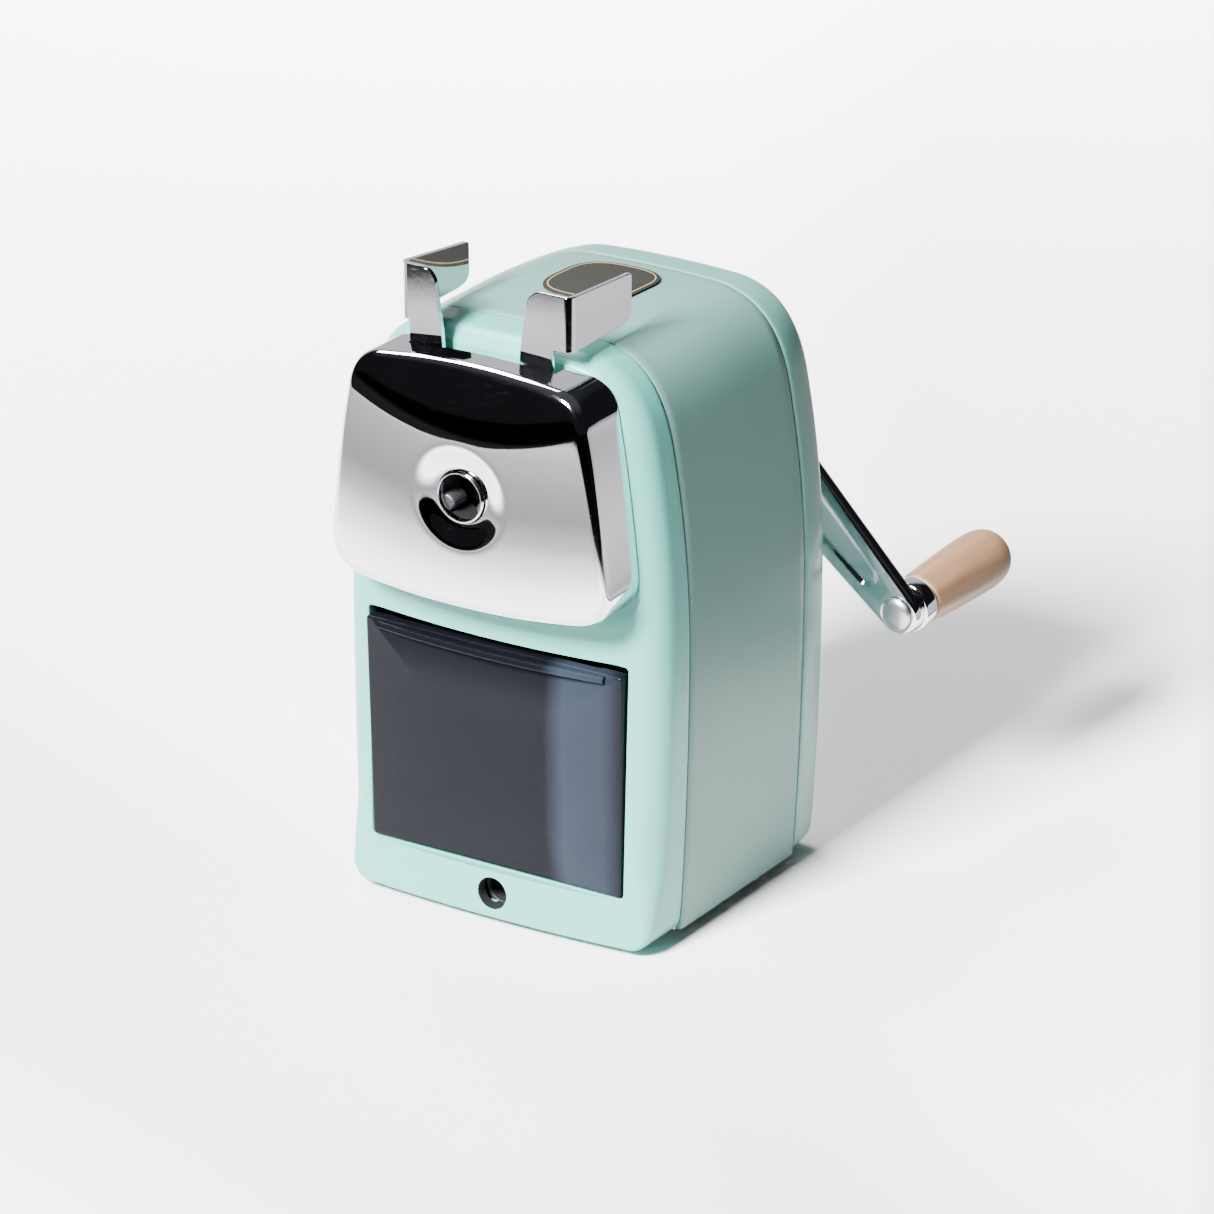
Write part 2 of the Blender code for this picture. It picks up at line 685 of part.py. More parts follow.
def jaws():
    """Radial fingers with round tips that meet the pencil."""
    for name, angle in JAWS:
        outline = [(-JAW_HALF, 8.0)]
        for i in range(9):
            turn = math.radians(180 + 180 * i / 8)
            outline.append((JAW_HALF * math.cos(turn), JAW_TIP + JAW_HALF * (1 + math.sin(turn))))
        outline.append((JAW_HALF, 8.0))
        lean = math.radians(angle)
        middle = (-5.5 * math.sin(lean), -35.7, AXIS_Z + 5.5 * math.cos(lean))
        finish(name, turned(prism(outline, *JAW_Y), angle), TOOL_STEEL, middle)


LEVERS = (
    # side, way, how far the neck and inner edge sit outwards, rear edge, fall of the wing's top
    ("left", -1, 2.0, -10.3, 2.2),
    ("right", 1, 0.0, -11.3, 1.0),
)


def levers():
    """Two bent plates; each has a front plate on its pin and a side wing to pinch."""
    for side, way, out, rear, fall in LEVERS:
        pin_x, pin_z = LEVER_PIN
        plate = [(WING_X, 115.4), (WING_X, 125.0), (13.0 + out * 0.6, 125.0), (10.2 + out * 0.9, 124.2)]
        plate += [(8.8 + out, 122.6), (8.2 + out, 120.0), (7.2 + out, 113.0), (7.0 + out, 109.5)]
        plate += [(7.6, 104.0), (8.0, 97.0), (6.4, 92.6), (7.4, 91.0), (9.2, 91.8), (12.4, 93.2)]
        plate += [(15.6, 95.6), (16.0, 98.4), (14.4, 102.5), (13.9 + out, 109.5), (14.0 + out, 113.6)]
        front = prism([(way * x, z) for x, z in plate], *LEVER_Y)
        lever = finish(f"lever_{side}", front, CHROME, (way * pin_x, LEVER_Y[0], pin_z))
        top = 125.0 - fall
        wing = [(LEVER_Y[0] + 0.1, 115.4), (-26.5, 114.7), (rear - 3.0, 115.2), (rear - 0.9, 116.2)]
        wing += [(rear, 118.2), (rear, top - 1.9), (rear - 0.5, top - 0.7), (rear - 1.8, top)]
        wing.append((LEVER_Y[0] + 0.1, 125.0))
        sheets = []
        for x in (WING_X - 1.0, WING_X):
            sheets.append([Vector((way * x, y, z)) for y, z in wing])
        join(lever, tool(f"wing_{side}", skin(sheets)))
        tab = block(sorted((way * 8.5, way * 9.7)), (-34.8, -30.4), (102.4, 105.6))
        join(lever, tool(f"spring_tab_{side}", tab))
        cut(lever, tool(f"lever_eye_{side}", rod(1.9, -40, -20, way * pin_x, pin_z, 20)))


def lever_pins():
    for side, way in (("left", -1), ("right", 1)):
        profile = [(0, -32.2), (2.8, -32.2), (2.8, -31.3), (1.6, -31.3)]
        profile += [(1.6, -29.9), (1.0, -29.9), (1.0, -28.2), (0, -28.2)]
        bm = lathe(profile, (way * LEVER_PIN[0], 0, LEVER_PIN[1]), steps=20)
        finish(f"lever_pin_{side}", bm, STEEL)


def lever_spring():
    turns = 5
    path = []
    for i in range(turns * 9 + 1):
        angle = 2 * math.pi * i / 9
        x = -7.9 + 15.8 * i / (turns * 9)
        path.append(Vector((x, -33.3 + 1.4 * math.cos(angle), 104 + 1.4 * math.sin(angle))))
    finish("lever_spring", sweep(path, 0.25, 5), STEEL)


def guide_rods():
    for side, way in (("left", -1), ("right", 1)):
        x, z = way * ROD[0], ROD[1]
        profile = [(0, -30.6), (3.4, -30.6), (3.4, -29.9), (ROD_RADIUS, -29.9)]
        profile += [(ROD_RADIUS, 24.4), (1.6, 24.9), (0, 24.9)]
        finish(f"guide_rod_{side}", lathe(profile, (x, 0, z), steps=20), CHROME)
        finish(f"rod_collar_{side}", pipe(2.3, 4.2, 21.6, 24.2, x, z, 20), STEEL)
        path = []
        for i in range(7 * 9 + 1):
            angle = 2 * math.pi * i / 9
            along = -23.2 + 44.2 * i / 63
            path.append(Vector((x + 3.1 * math.cos(angle), along, z + 3.1 * math.sin(angle))))
        finish(f"return_spring_{side}", sweep(path, 0.35, 5), STEEL)


# ---------------------------------------------------------------- cutting gear


def tooth_outline(teeth, grow, tooth_share):
    """Points of a gear's front view at its pitch plane, first tooth on +Z."""
    pitch = teeth * MODULE / 2
    points = []
    for i in range(teeth):
        for place, radius in (
            (-0.5 * tooth_share - 0.09, pitch - 1.05 * MODULE + grow),
            (-0.5 * tooth_share + 0.10, pitch + 0.75 * MODULE + grow),
            (0.5 * tooth_share - 0.10, pitch + 0.75 * MODULE + grow),
            (0.5 * tooth_share + 0.09, pitch - 1.05 * MODULE + grow),
        ):
            points.append((radius, 2 * math.pi * (i + place) / teeth))
    return points


def gear_cone(points, origin, turn, plane, faces):
    """Draws the gear outline at a plane towards the shared apex, one ring a face distance."""
    rings = []
    for face in faces:
        share = (plane - face) / plane
        ring = []
        for radius, angle in points:
            spot = Vector((radius * math.sin(angle), -plane, radius * math.cos(angle))) * share
            ring.append(origin + turn @ spot)
        rings.append(ring)
    return skin(rings)


def ring_gear():
    apex = Vector((0, APEX_Y, AXIS_Z))
    gear = finish("ring_gear", rod(14.5, 17.2, 22.0, z=AXIS_Z, steps=40), STEEL, (0, GEAR_Y, AXIS_Z))
    points = tooth_outline(RING_TEETH, 0.40, 0.66)
    bore = gear_cone(points, apex, Matrix.Identity(3), APEX_Y - GEAR_Y, (-6, 6))
    cut(gear, tool("ring_gear_teeth", bore))


def cutter_set():
    """Cutter, its axle and its pinion, all on the tilted axis."""
    apex = Vector((0, APEX_Y, AXIS_Z))
    tilt = Matrix.Rotation(-TILT, 3, "X")
    reach = PINION_OFFSET / math.sin(TILT)
    pinion_centre = apex + tilt @ Vector((0, -reach, 0))
    gear = gear_cone(tooth_outline(PINION_TEETH, -0.05, 0.36), apex, tilt, reach, (-1.8, 1.8))
    pinion = finish("cutter_pinion", gear, STEEL, pinion_centre)
    hole = lathe([(1.5, -80), (1.5, 0)], apex, -TILT, 16)
    cut(pinion, tool("pinion_bore", hole))
    rear = reach + 4.4
    tip = -rear - CUTTER_LENGTH - 5.4
    axle = [(0, tip), (1.2, tip), (1.2, -reach + 4.9), (0, -reach + 4.9)]
    finish("cutter_axle", lathe(axle, apex, -TILT, 16), STEEL, pinion_centre)
    teeth = 14
    outer = []
    inner = []
    levels = 9
    for k in range(levels):
        along = -rear - CUTTER_LENGTH * k / (levels - 1)
        twist = math.radians(75) * k / (levels - 1)
        ring = []
        for i in range(teeth):
            for share, radius in ((0.0, CUTTER_RADIUS), (0.32, CUTTER_RADIUS - 0.9)):
                angle = 2 * math.pi * (i + share) / teeth + twist
                spot = Vector((radius * math.cos(angle), along, radius * math.sin(angle)))
                ring.append(apex + tilt @ spot)
        outer.append(ring)
    for along in (-rear - CUTTER_LENGTH, -rear):
        ring = []
        for i in range(2 * teeth):
            angle = math.pi * i / teeth
            ring.append(apex + tilt @ Vector((1.5 * math.cos(angle), along, 1.5 * math.sin(angle))))
        inner.append(ring)
    finish("cutter", skin(outer + inner, closed=True), TOOL_STEEL, pinion_centre)


def cutter_carrier():
    """A spine between a front collar and a rear disc, open on the cutter's side."""
    spine = finish("cutter_carrier", spine_shape(), GREY, (0, 0, AXIS_Z))
    nose = rod(6.3, -20.0, -13.0, z=AXIS_Z)
    collar = slab(-14.2, -11.6, 8.2, 4.0, cutter_offset(-12.9))
    disc = slab(22.7, 25.4, 8.2, 4.0, cutter_offset(24.0))
    hub = rod(5.6, 25.0, 29.0, z=AXIS_Z, steps=24)
    join(spine, tool("carrier_nose", nose), tool("carrier_collar", collar))
    join(spine, tool("carrier_disc", disc), tool("carrier_hub", hub))
    cut(spine, tool("carrier_bore", rod(PENCIL_BORE, -40, 16.0, z=AXIS_Z, steps=28)))
    cut(spine, tool("shaft_socket", rod(SHAFT_RADIUS + 0.3, 26.2, 40, z=AXIS_Z)))
    apex = (0, APEX_Y, AXIS_Z)
    front = APEX_Y + 20.0
    rear = APEX_Y - 24.9
    cut(spine, tool("axle_hole", lathe([(1.5, -front), (1.5, -rear)], apex, -TILT, 16)))


def spine_shape():
    """Lower side of a thick tube, with flat edges under the cutter."""
    outline = []
    for i in range(17):
        angle = math.radians(200 + 140 * i / 16)
        outline.append((8.2 * math.cos(angle), AXIS_Z + 8.2 * math.sin(angle)))
    return prism(outline, -12.5, 23.5)


def slab(y0, y1, radius, ear, offset):
    """A plate round the pencil axis that reaches up to the cutter's axle."""
    spread = math.asin((radius - ear) / offset)
    outline = []
    for i in range(17):
        angle = math.pi - spread + (math.pi + 2 * spread) * i / 16
        outline.append((radius * math.cos(angle), AXIS_Z + radius * math.sin(angle)))
    for i in range(9):
        angle = spread + (math.pi - 2 * spread) * i / 8
        outline.append((ear * math.cos(angle), AXIS_Z + offset + ear * math.sin(angle)))
    return prism(outline, y0, y1)


# ---------------------------------------------------------------- crank


def crank_parts():
    hub = (0, 0, AXIS_Z)
    shaft = [(0, 26.6), (3.0, 26.6), (3.0, 44.6), (2.5, 45.1), (0, 45.1)]
    finish("crank_shaft", lathe(shaft, hub, steps=24), STEEL, (0, 39, AXIS_Z))
    finish("crank_collar", pipe(3.3, 6.0, 37.5, 39.3, z=AXIS_Z, steps=28), CHROME, (0, 39, AXIS_Z))
    nut = [(6.0, 42.6), (6.0, 45.6)]
    nut_body = finish("crank_nut", lathe(nut, hub, steps=6), CHROME, (0, 43, AXIS_Z))
    dome = [(0, 45.0), (4.8, 45.0), (4.4, 46.6), (3.2, 47.8), (1.6, 48.4), (0, 48.5)]
    join(nut_body, tool("nut_dome", lathe(dome, hub, steps=24)))
    cut(nut_body, tool("nut_thread", rod(3.3, 40, 45.4, z=AXIS_Z)))


def arm_outline(hub_radius, end_radius, start=0.0, stop=None):
    """A tapered bar from the hub to the knob."""
    run = Vector((KNOB[0], KNOB[1] - AXIS_Z))
    length = run.length
    stop = length if stop is None else stop
    lean = math.atan2(run.y, run.x)
    spread = math.acos((hub_radius - end_radius) / (stop - start))
    outline = []
    for radius, along, first, last in (
        (hub_radius, start, spread, 2 * math.pi - spread),
        (end_radius, stop, -spread, spread),
    ):
        for i in range(11):
            angle = lean + first + (last - first) * i / 10
            x = along * math.cos(lean) + radius * math.cos(angle)
            z = AXIS_Z + along * math.sin(lean) + radius * math.sin(angle)
            outline.append((x, z))
    return outline


def crank_arm():
    front, rear = ARM_Y
    rings = []
    for y, grow in ((rear, 0.0), (front + 0.8, 0.0), (front + 0.25, -0.25), (front, -0.8)):
        outline = arm_outline(ARM_RADII[0] + grow, ARM_RADII[1] + grow)
        rings.append([Vector((x, y, z)) for x, z in outline])
    arm = finish("crank_arm", skin(rings), CHROME, (0, front, AXIS_Z))
    cut(arm, tool("arm_channel", prism(arm_outline(4.2, 2.0, 12.0, 50.0), 30, front + 0.6)))
    cut(arm, tool("arm_back", prism(arm_outline(5.4, 2.9, 15.0, 49.5), front + 1.5, 50)))
    cut(arm, tool("arm_shaft_hole", rod(3.3, 30, 50, z=AXIS_Z)))
    cut(arm, tool("arm_pin_hole", rod(2.3, 30, 50, *KNOB)))


def knob_parts():
    centre = (KNOB[0], 0, KNOB[1])
    pin = [(0, 38.3), (1.8, 38.4), (3.1, 39.0), (3.1, 39.3), (2.0, 39.3), (2.0, 70.0), (0, 70.0)]
    finish("knob_pin", lathe(pin, centre, steps=20), STEEL, (KNOB[0], 39, KNOB[1]))
    ferrule = [(2.3, 42.6), (4.7, 42.6), (4.9, 43.0), (4.9, 45.9), (4.6, 46.4), (2.3, 46.4)]
    bm = lathe(ferrule, centre, steps=28, closed=True)
    finish("knob_ferrule", bm, CHROME, (KNOB[0], 44, KNOB[1]))
    front, rear = KNOB_Y
    body = [(0, front), (4.6, front), (4.85, front + 0.4), (5.2, front + 6), (5.5, front + 13)]
    body += [(5.7, front + 20), (5.6, rear - 4.2), (5.1, rear - 2.0), (3.9, rear - 0.6)]
    body += [(2.0, rear - 0.1), (0, rear)]
    shape = lathe(body, centre, steps=28)
    made = finish("knob", shape, WOOD, (KNOB[0], front, KNOB[1]))
    cut(made, tool("knob_bore", rod(2.3, 40, 70.4, *KNOB)))


def build():
    front_panel()
    body_shell()
    rear_panel()
    rear_screws()
    base_plate()
    base_pad()
    base_screws()
    clamp_socket()
    top_label()
    drawer_guide()
    front_bearing()
    rod_bushings()
    mechanism_housing()
    drawer()
    head_cover()
    head_back_plate()
    inlet_ring()
    chuck_housing()
    jaws()
    levers()
    lever_pins()
    lever_spring()
    guide_rods()
    ring_gear()
    cutter_set()
    cutter_carrier()
    crank_parts()
    crank_arm()
    knob_parts()


build()
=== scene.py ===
import math

import bmesh
import bpy
from mathutils import Matrix, Vector


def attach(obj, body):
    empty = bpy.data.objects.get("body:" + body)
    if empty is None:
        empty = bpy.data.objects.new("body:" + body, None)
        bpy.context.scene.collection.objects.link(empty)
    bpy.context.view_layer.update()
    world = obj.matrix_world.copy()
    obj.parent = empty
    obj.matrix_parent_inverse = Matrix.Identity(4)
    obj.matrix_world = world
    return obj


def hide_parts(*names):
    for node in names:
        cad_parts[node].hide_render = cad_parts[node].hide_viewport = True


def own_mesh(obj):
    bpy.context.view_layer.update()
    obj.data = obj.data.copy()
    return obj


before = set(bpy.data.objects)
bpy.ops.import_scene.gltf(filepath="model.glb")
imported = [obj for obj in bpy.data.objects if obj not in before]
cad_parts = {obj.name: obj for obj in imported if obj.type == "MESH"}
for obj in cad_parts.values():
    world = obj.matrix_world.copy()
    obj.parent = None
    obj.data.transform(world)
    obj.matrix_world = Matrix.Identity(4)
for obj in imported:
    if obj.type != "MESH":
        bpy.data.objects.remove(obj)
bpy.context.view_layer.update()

# A desk pencil sharpener with a rear crank. Lengths are in millimetres until mesh_object turns them
# into metres. X runs to the right of the front, Y to the back and Z up.
MM = 0.001
CUT = "DIFFERENCE"
JOIN = "UNION"

# The case: its outline in X and Z, then the seams between its front, shell and rear.
BASE_Z = 1.5
BODY_HEIGHT = 111.7
BASE_HALF = 32.1
BELLY_HALF = 34.0
BELLY_HEIGHT = 56.0
SIDE_RADIUS = 200.0
SHOULDER_HEIGHT = 95.0
CROWN_HALF = 14.0
CROWN_RADIUS = 270.0
BOTTOM_CORNER = 4.2
SHELL_LIFT = 0.8
SHELL_THICK = 1.2
SHELL_Y = (-16.9, 22.2)
PANEL_WALL = 2.2
SEAM_Y = -17.2
REAR_SEAM_Y = 22.5
REAR_SIDE_RADIUS = 30.0
BOW_RADIUS = 168.0
MIDDLE_Z = BASE_Z + BELLY_HEIGHT
CROWN_Z = BASE_Z + BODY_HEIGHT

# What the case holds: the head's axis, its rods, the knob, the drawer, the clamp hole and the screws.
AXIS_Z = 86.9
HUB = (0, 0, AXIS_Z)
ROD = (22.0, 80.0)
ROD_HOLE = 3.7
SIDES = (("left", -1), ("right", 1))
KNOB = (43.3, 46.8)
KNOB_CENTRE = (KNOB[0], 0, KNOB[1])
DRAWER_Z = (11.7, 54.9)
DRAWER_HALVES = (26.7, 27.4)
JAWS = (("jaw_top", 0), ("jaw_lower_left", 120), ("jaw_lower_right", 240))
CLAMP_Z = 6.6
CLAMP_RADIUS = 3.0
SCREW_X = 22.0
SCREW_Z = 30.0

# The head: its sheet, the dish round the pencil hole, and where its upper face starts to bend back.
HEAD_THICK = 1.2
HEAD_ROUND = 1.7
INLET_RADIUS = 5.1
DISH_RADIUS = 4.9
DISH_WIDTH = 5.4
DISH_DEPTH = 1.25
BEND_Z = 97.2
CHUCK_Y = -38.2

# The levers: the folded sheet's front face, its thickness, where it folds and how tightly.
LEVER_Y = -31.0
LEVER_THICK = 1.0
LEVER_TOP = 125.0
FOLD_X = 16.4
FOLD_RADIUS = 1.6

# The crank: the planes that the arm lies between, and its two bores.
ARM_Y = (39.6, 42.3)
HUB_BORE = 3.3
KNOB_BORE = 2.3

# ------------------------------------------------------------- materials


def add(tree, kind, settings=None, **inputs):
    """A new node, with its settings and the values of its named inputs."""
    node = tree.nodes.new(kind)
    for key, value in (settings or {}).items():
        setattr(node, key, value)
    for key, value in inputs.items():
        node.inputs[key.replace("_", " ")].default_value = value
    return node


def noise(tree, coords, scale, detail=3.0, stretch=(1, 1, 1)):
    """Noise fixed to the object, finer along an axis where stretch is larger."""
    place = add(tree, "ShaderNodeMapping")
    place.inputs["Scale"].default_value = stretch
    tree.links.new(coords, place.inputs["Vector"])
    made = add(tree, "ShaderNodeTexNoise", Scale=scale, Detail=detail, Roughness=0.55)
    tree.links.new(place.outputs["Vector"], made.inputs["Vector"])
    return made.outputs["Fac"]


def ranged(tree, value, low, high, start=0.3, stop=0.7):
    """Low up to start, high from stop, and an even slope between."""
    node = add(tree, "ShaderNodeMapRange")
    node.inputs["From Min"].default_value = start
    node.inputs["From Max"].default_value = stop
    node.inputs["To Min"].default_value = low
    node.inputs["To Max"].default_value = high
    tree.links.new(value, node.inputs["Value"])
    return node.outputs["Result"]


def mixed(tree, share, first, second):
    """A blend of two colours, each a plain value or another node's output."""
    node = add(tree, "ShaderNodeMix", {"data_type": "RGBA"})
    tree.links.new(share, node.inputs[0])
    for index, color in ((6, first), (7, second)):
        if isinstance(color, bpy.types.NodeSocket):
            tree.links.new(color, node.inputs[index])
        else:
            node.inputs[index].default_value = (*color, 1)
    return node.outputs[2]


def set_stops(ramp, stops):
    """Grey levels along a colour ramp."""
    while len(ramp.color_ramp.elements) < len(stops):
        ramp.color_ramp.elements.new(0.5)
    for element, (place, value) in zip(ramp.color_ramp.elements, stops):
        element.position = place
        element.color = (value, value, value, 1)


def surface(
    name, color, metallic=0.0, roughness=0.4, spread=0.06, tint=0.05, broad=30.0,
    fine=900.0, bump=0.02, stretch=(1, 1, 1), coat=0.0, scratches=0.0, specular=None, see_through=None,
):
    """A finish with uneven colour and gloss, a fine texture and, where asked, hairline scratches."""
    made = bpy.data.materials.new(name)
    made.use_nodes = True
    tree = made.node_tree
    shader = tree.nodes["Principled BSDF"]
    coords = add(tree, "ShaderNodeTexCoord").outputs["Object"]
    patches = noise(tree, coords, broad, 4.0, stretch)
    darker = [c * (1 - tint) for c in color]
    lighter = [min(1.0, c * (1 + tint)) for c in color]
    tree.links.new(mixed(tree, ranged(tree, patches, 0, 1), darker, lighter), shader.inputs["Base Color"])
    gloss = noise(tree, coords, broad * 3.1, 5.0, stretch)
    smears = ranged(tree, gloss, roughness - spread, roughness + spread)
    if scratches:
        hair = noise(tree, coords, 300.0, 2.0, (1.0, 0.06, 9.0))
        lines = ranged(tree, hair, 0.0, scratches, 0.62, 0.72)
        total = add(tree, "ShaderNodeMath", {"operation": "ADD"})
        tree.links.new(smears, total.inputs[0])
        tree.links.new(lines, total.inputs[1])
        smears = total.outputs["Value"]
    tree.links.new(smears, shader.inputs["Roughness"])
    shader.inputs["Metallic"].default_value = metallic
    shader.inputs["Coat Weight"].default_value = coat
    shader.inputs["Coat Roughness"].default_value = 0.08
    if specular is not None:
        shader.inputs["Specular IOR Level"].default_value = specular
    relief = add(tree, "ShaderNodeBump", Strength=bump, Distance=0.0002)
    tree.links.new(noise(tree, coords, fine, 2.0, stretch), relief.inputs["Height"])
    tree.links.new(relief.outputs["Normal"], shader.inputs["Normal"])
    if see_through:
        clear = add(tree, "ShaderNodeBsdfTransparent")
        clear.inputs["Color"].default_value = (*see_through[1], 1)
        blend = add(tree, "ShaderNodeMixShader")
        blend.inputs["Fac"].default_value = see_through[0]
        tree.links.new(shader.outputs["BSDF"], blend.inputs[1])
        tree.links.new(clear.outputs["BSDF"], blend.inputs[2])
        tree.links.new(blend.outputs["Shader"], tree.nodes["Material Output"].inputs["Surface"])
    return made


def smoked_surface():
    """Dark clear plastic, with a paler upright band on its right that is a painted reflection."""
    made = surface("smoked_plastic", (0.004, 0.0045, 0.006), 0.0, 0.12, 0.02, 0.08, fine=900, bump=0.002,
                   scratches=0.02, specular=0.1, see_through=(0.06, (0.30, 0.32, 0.37)))
    tree = made.node_tree
    coords = tree.nodes["Texture Coordinate"].outputs["Object"]
    across = add(tree, "ShaderNodeSeparateXYZ")
    tree.links.new(coords, across.inputs["Vector"])
    # The paler band across X is a painted reflection on the drawer's right, not a colour of the plastic.
    reflection_strip = add(tree, "ShaderNodeValToRGB")
    set_stops(reflection_strip, ((0.0, 0.0), (0.0146, 0.0), (0.0149, 1.0), (0.0250, 0.75), (0.0253, 0.0)))
    tree.links.new(across.outputs["X"], reflection_strip.inputs["Fac"])
    clouds = ranged(tree, noise(tree, coords, 45.0, 3.0), 0.8, 1.0)
    share = add(tree, "ShaderNodeMath", {"operation": "MULTIPLY"})
    tree.links.new(reflection_strip.outputs["Color"], share.inputs[0])
    tree.links.new(clouds, share.inputs[1])
    color = mixed(tree, share.outputs["Value"], (0.003, 0.0033, 0.005), (0.017, 0.022, 0.033))
    tree.links.new(color, tree.nodes["Principled BSDF"].inputs["Base Color"])
    return made


def wood_surface():
    """Satin wood with fine streaks along the knob."""
    made = surface("satin_wood", (0.56, 0.375, 0.26), 0.0, 0.42, 0.07, 0.05, broad=60, fine=1500, bump=0.1,
                   stretch=(1, 0.1, 1))
    tree = made.node_tree
    coords = tree.nodes["Texture Coordinate"].outputs["Object"]
    streaks = ranged(tree, noise(tree, coords, 420.0, 6.0, (1.0, 0.05, 1.0)), 0, 1, 0.35, 0.65)
    color = mixed(tree, streaks, (0.19, 0.105, 0.055), (0.27, 0.155, 0.088))
    tree.links.new(color, tree.nodes["Principled BSDF"].inputs["Base Color"])
    return made


MINT_PLASTIC = surface("mint_moulding", (0.080, 0.312, 0.266), roughness=0.32, spread=0.025, tint=0.012,
                       fine=1500, bump=0.04, coat=0.06, specular=0.35)
# A darker copy of the mint moulding for the rear panel: painted shade, as the back of the case lies in shade.
SHADED_REAR_PLASTIC = surface("shaded_mint_plastic", (0.088, 0.228, 0.198), roughness=0.3, spread=0.025, coat=0.1,
                       specular=0.35)
# The shell's gloss paint, in a darker copy of the moulding's mint: the darkening is painted shade on the
# shell's sides and crown.
SHADED_MINT_PAINT = surface("shaded_mint_gloss_paint", (0.092, 0.190, 0.168), roughness=0.3, spread=0.025, tint=0.012,
                     fine=1100, bump=0.05, coat=0.03, specular=0.2)
CHROME = surface("mirror_chrome", (0.775, 0.772, 0.81), 1.0, 0.045, 0.02, 0.01, fine=700, bump=0.008,
                 scratches=0.05)
SMOKE = smoked_surface()
BLACK = surface("black_moulding", (0.012, 0.012, 0.013), 0.0, 0.45, 0.08, 0.15, fine=1800, bump=0.15,
                specular=0.2)
RUBBER = surface("black_rubber_sheet", (0.018, 0.018, 0.019), 0.0, 0.8, 0.08, 0.2, fine=2200, bump=0.5)
STEEL = surface("plain_steel", (0.56, 0.56, 0.58), 1.0, 0.3, 0.07, 0.06, fine=1200, bump=0.06,
                scratches=0.12)
TOOL_STEEL = surface("hard_steel", (0.34, 0.34, 0.36), 1.0, 0.27, 0.07, 0.08, fine=1500, bump=0.08,
                     scratches=0.1)
# A near-black copy of the jaws' steel: painted shade, for the jaws deep in the pencil hole.
SHADED_JAW_STEEL = surface("shaded_jaw_steel", (0.055, 0.055, 0.06), 0.6, 0.3, 0.06, 0.08, fine=1500, bump=0.1)
GREY = surface("grey_acetal", (0.30, 0.31, 0.32), 0.0, 0.45, 0.07, 0.05, fine=1600, bump=0.12)
LABEL = surface("dark_label", (0.014, 0.014, 0.012), 0.0, 0.75, 0.08, 0.15, fine=1600, bump=0.1,
                specular=0.12)
GILT = surface("gilt_print", (0.55, 0.43, 0.22), 0.6, 0.35, 0.08, 0.15, fine=1600, bump=0.1)
WOOD = wood_surface()

# ------------------------------------------------------------- mesh helpers


def skin(rings, closed=False):
    """Joins rings of points into a surface, and caps its two ends unless it closes on itself."""
    bm = bmesh.new()
    loops = [[bm.verts.new(point) for point in ring] for ring in rings]
    pairs = list(zip(loops, loops[1:]))
    if closed:
        pairs.append((loops[-1], loops[0]))
    for first, second in pairs:
        count = max(len(first), len(second))
        for i in range(count):
            k = (i + 1) % count
            corners = [first[i % len(first)], first[k % len(first)]]
            corners += [second[k % len(second)], second[i % len(second)]]
            bm.faces.new(list(dict.fromkeys(corners)))
    if not closed:
        for loop in (loops[0], loops[-1]):
            if len(loop) > 1:
                bm.faces.new(loop)
    return bm


def lathe(profile, centre=(0, 0, 0), steps=96, closed=False):
    """Turns a profile of radius and distance along Y."""
    rings = []
    for radius, along in profile:
        ring = []
        for i in range(steps if radius > 0 else 1):
            angle = 2 * math.pi * i / steps
            ring.append(Vector(centre) + Vector((radius * math.cos(angle), along, radius * math.sin(angle))))
        rings.append(ring)
    return skin(rings, closed)


def rod(radius, y0, y1, x=0.0, z=0.0, steps=64):
    return lathe([(radius, y0), (radius, y1)], (x, 0, z), steps)


def block(x, y, z):
    rings = []
    for level in z:
        corners = ((x[0], y[0]), (x[1], y[0]), (x[1], y[1]), (x[0], y[1]))
        rings.append([Vector((a, b, level)) for a, b in corners])
    return skin(rings)


def prism(outline, y0, y1):
    """An outline in X and Z, run along Y."""
    return skin([[Vector((x, y, z)) for x, z in outline] for y in (y0, y1)])


def fillet(points, reach, steps=5, limit=0.45, special=None):
    """A closed outline with every corner rounded by reach, or less where an edge is short."""
    made = []
    count = len(points)
    for i, here in enumerate(points):
        here = Vector(here)
        before = Vector(points[i - 1]) - here
        after = Vector(points[(i + 1) % count]) - here
        wanted = (special or {}).get(i, reach)
        cut_back = min(wanted, before.length * limit, after.length * limit)
        start = here + before.normalized() * cut_back
        stop = here + after.normalized() * cut_back
        for k in range(steps + 1):
            t = k / steps
            made.append(tuple(start * (1 - t) ** 2 + here * 2 * t * (1 - t) + stop * t * t))
    return made


def smooth(points, steps, closed=True):
    """A soft curve through all the points."""
    made = []
    count = len(points)
    last = count if closed else count - 1
    for i in range(last):
        quad = []
        for k in (-1, 0, 1, 2):
            index = i + k
            index = index % count if closed else min(max(index, 0), count - 1)
            quad.append(Vector(points[index]))
        knots = [0.0]
        for a, b in zip(quad, quad[1:]):
            knots.append(knots[-1] + max((b - a).length, 1e-3) ** 0.5)
        for k in range(steps):
            t = knots[1] + (knots[2] - knots[1]) * k / steps
            level = quad
            for depth in (1, 2, 3):
                reduced = []
                for j in range(4 - depth):
                    low, high = ((j, j + 1), (j, j + 2), (1, 2))[depth - 1]
                    share = (t - knots[low]) / (knots[high] - knots[low])
                    reduced.append(level[j] * (1 - share) + level[j + 1] * share)
                level = reduced
            made.append(tuple(level[0]))
    if not closed:
        made.append(tuple(points[-1]))
    return made


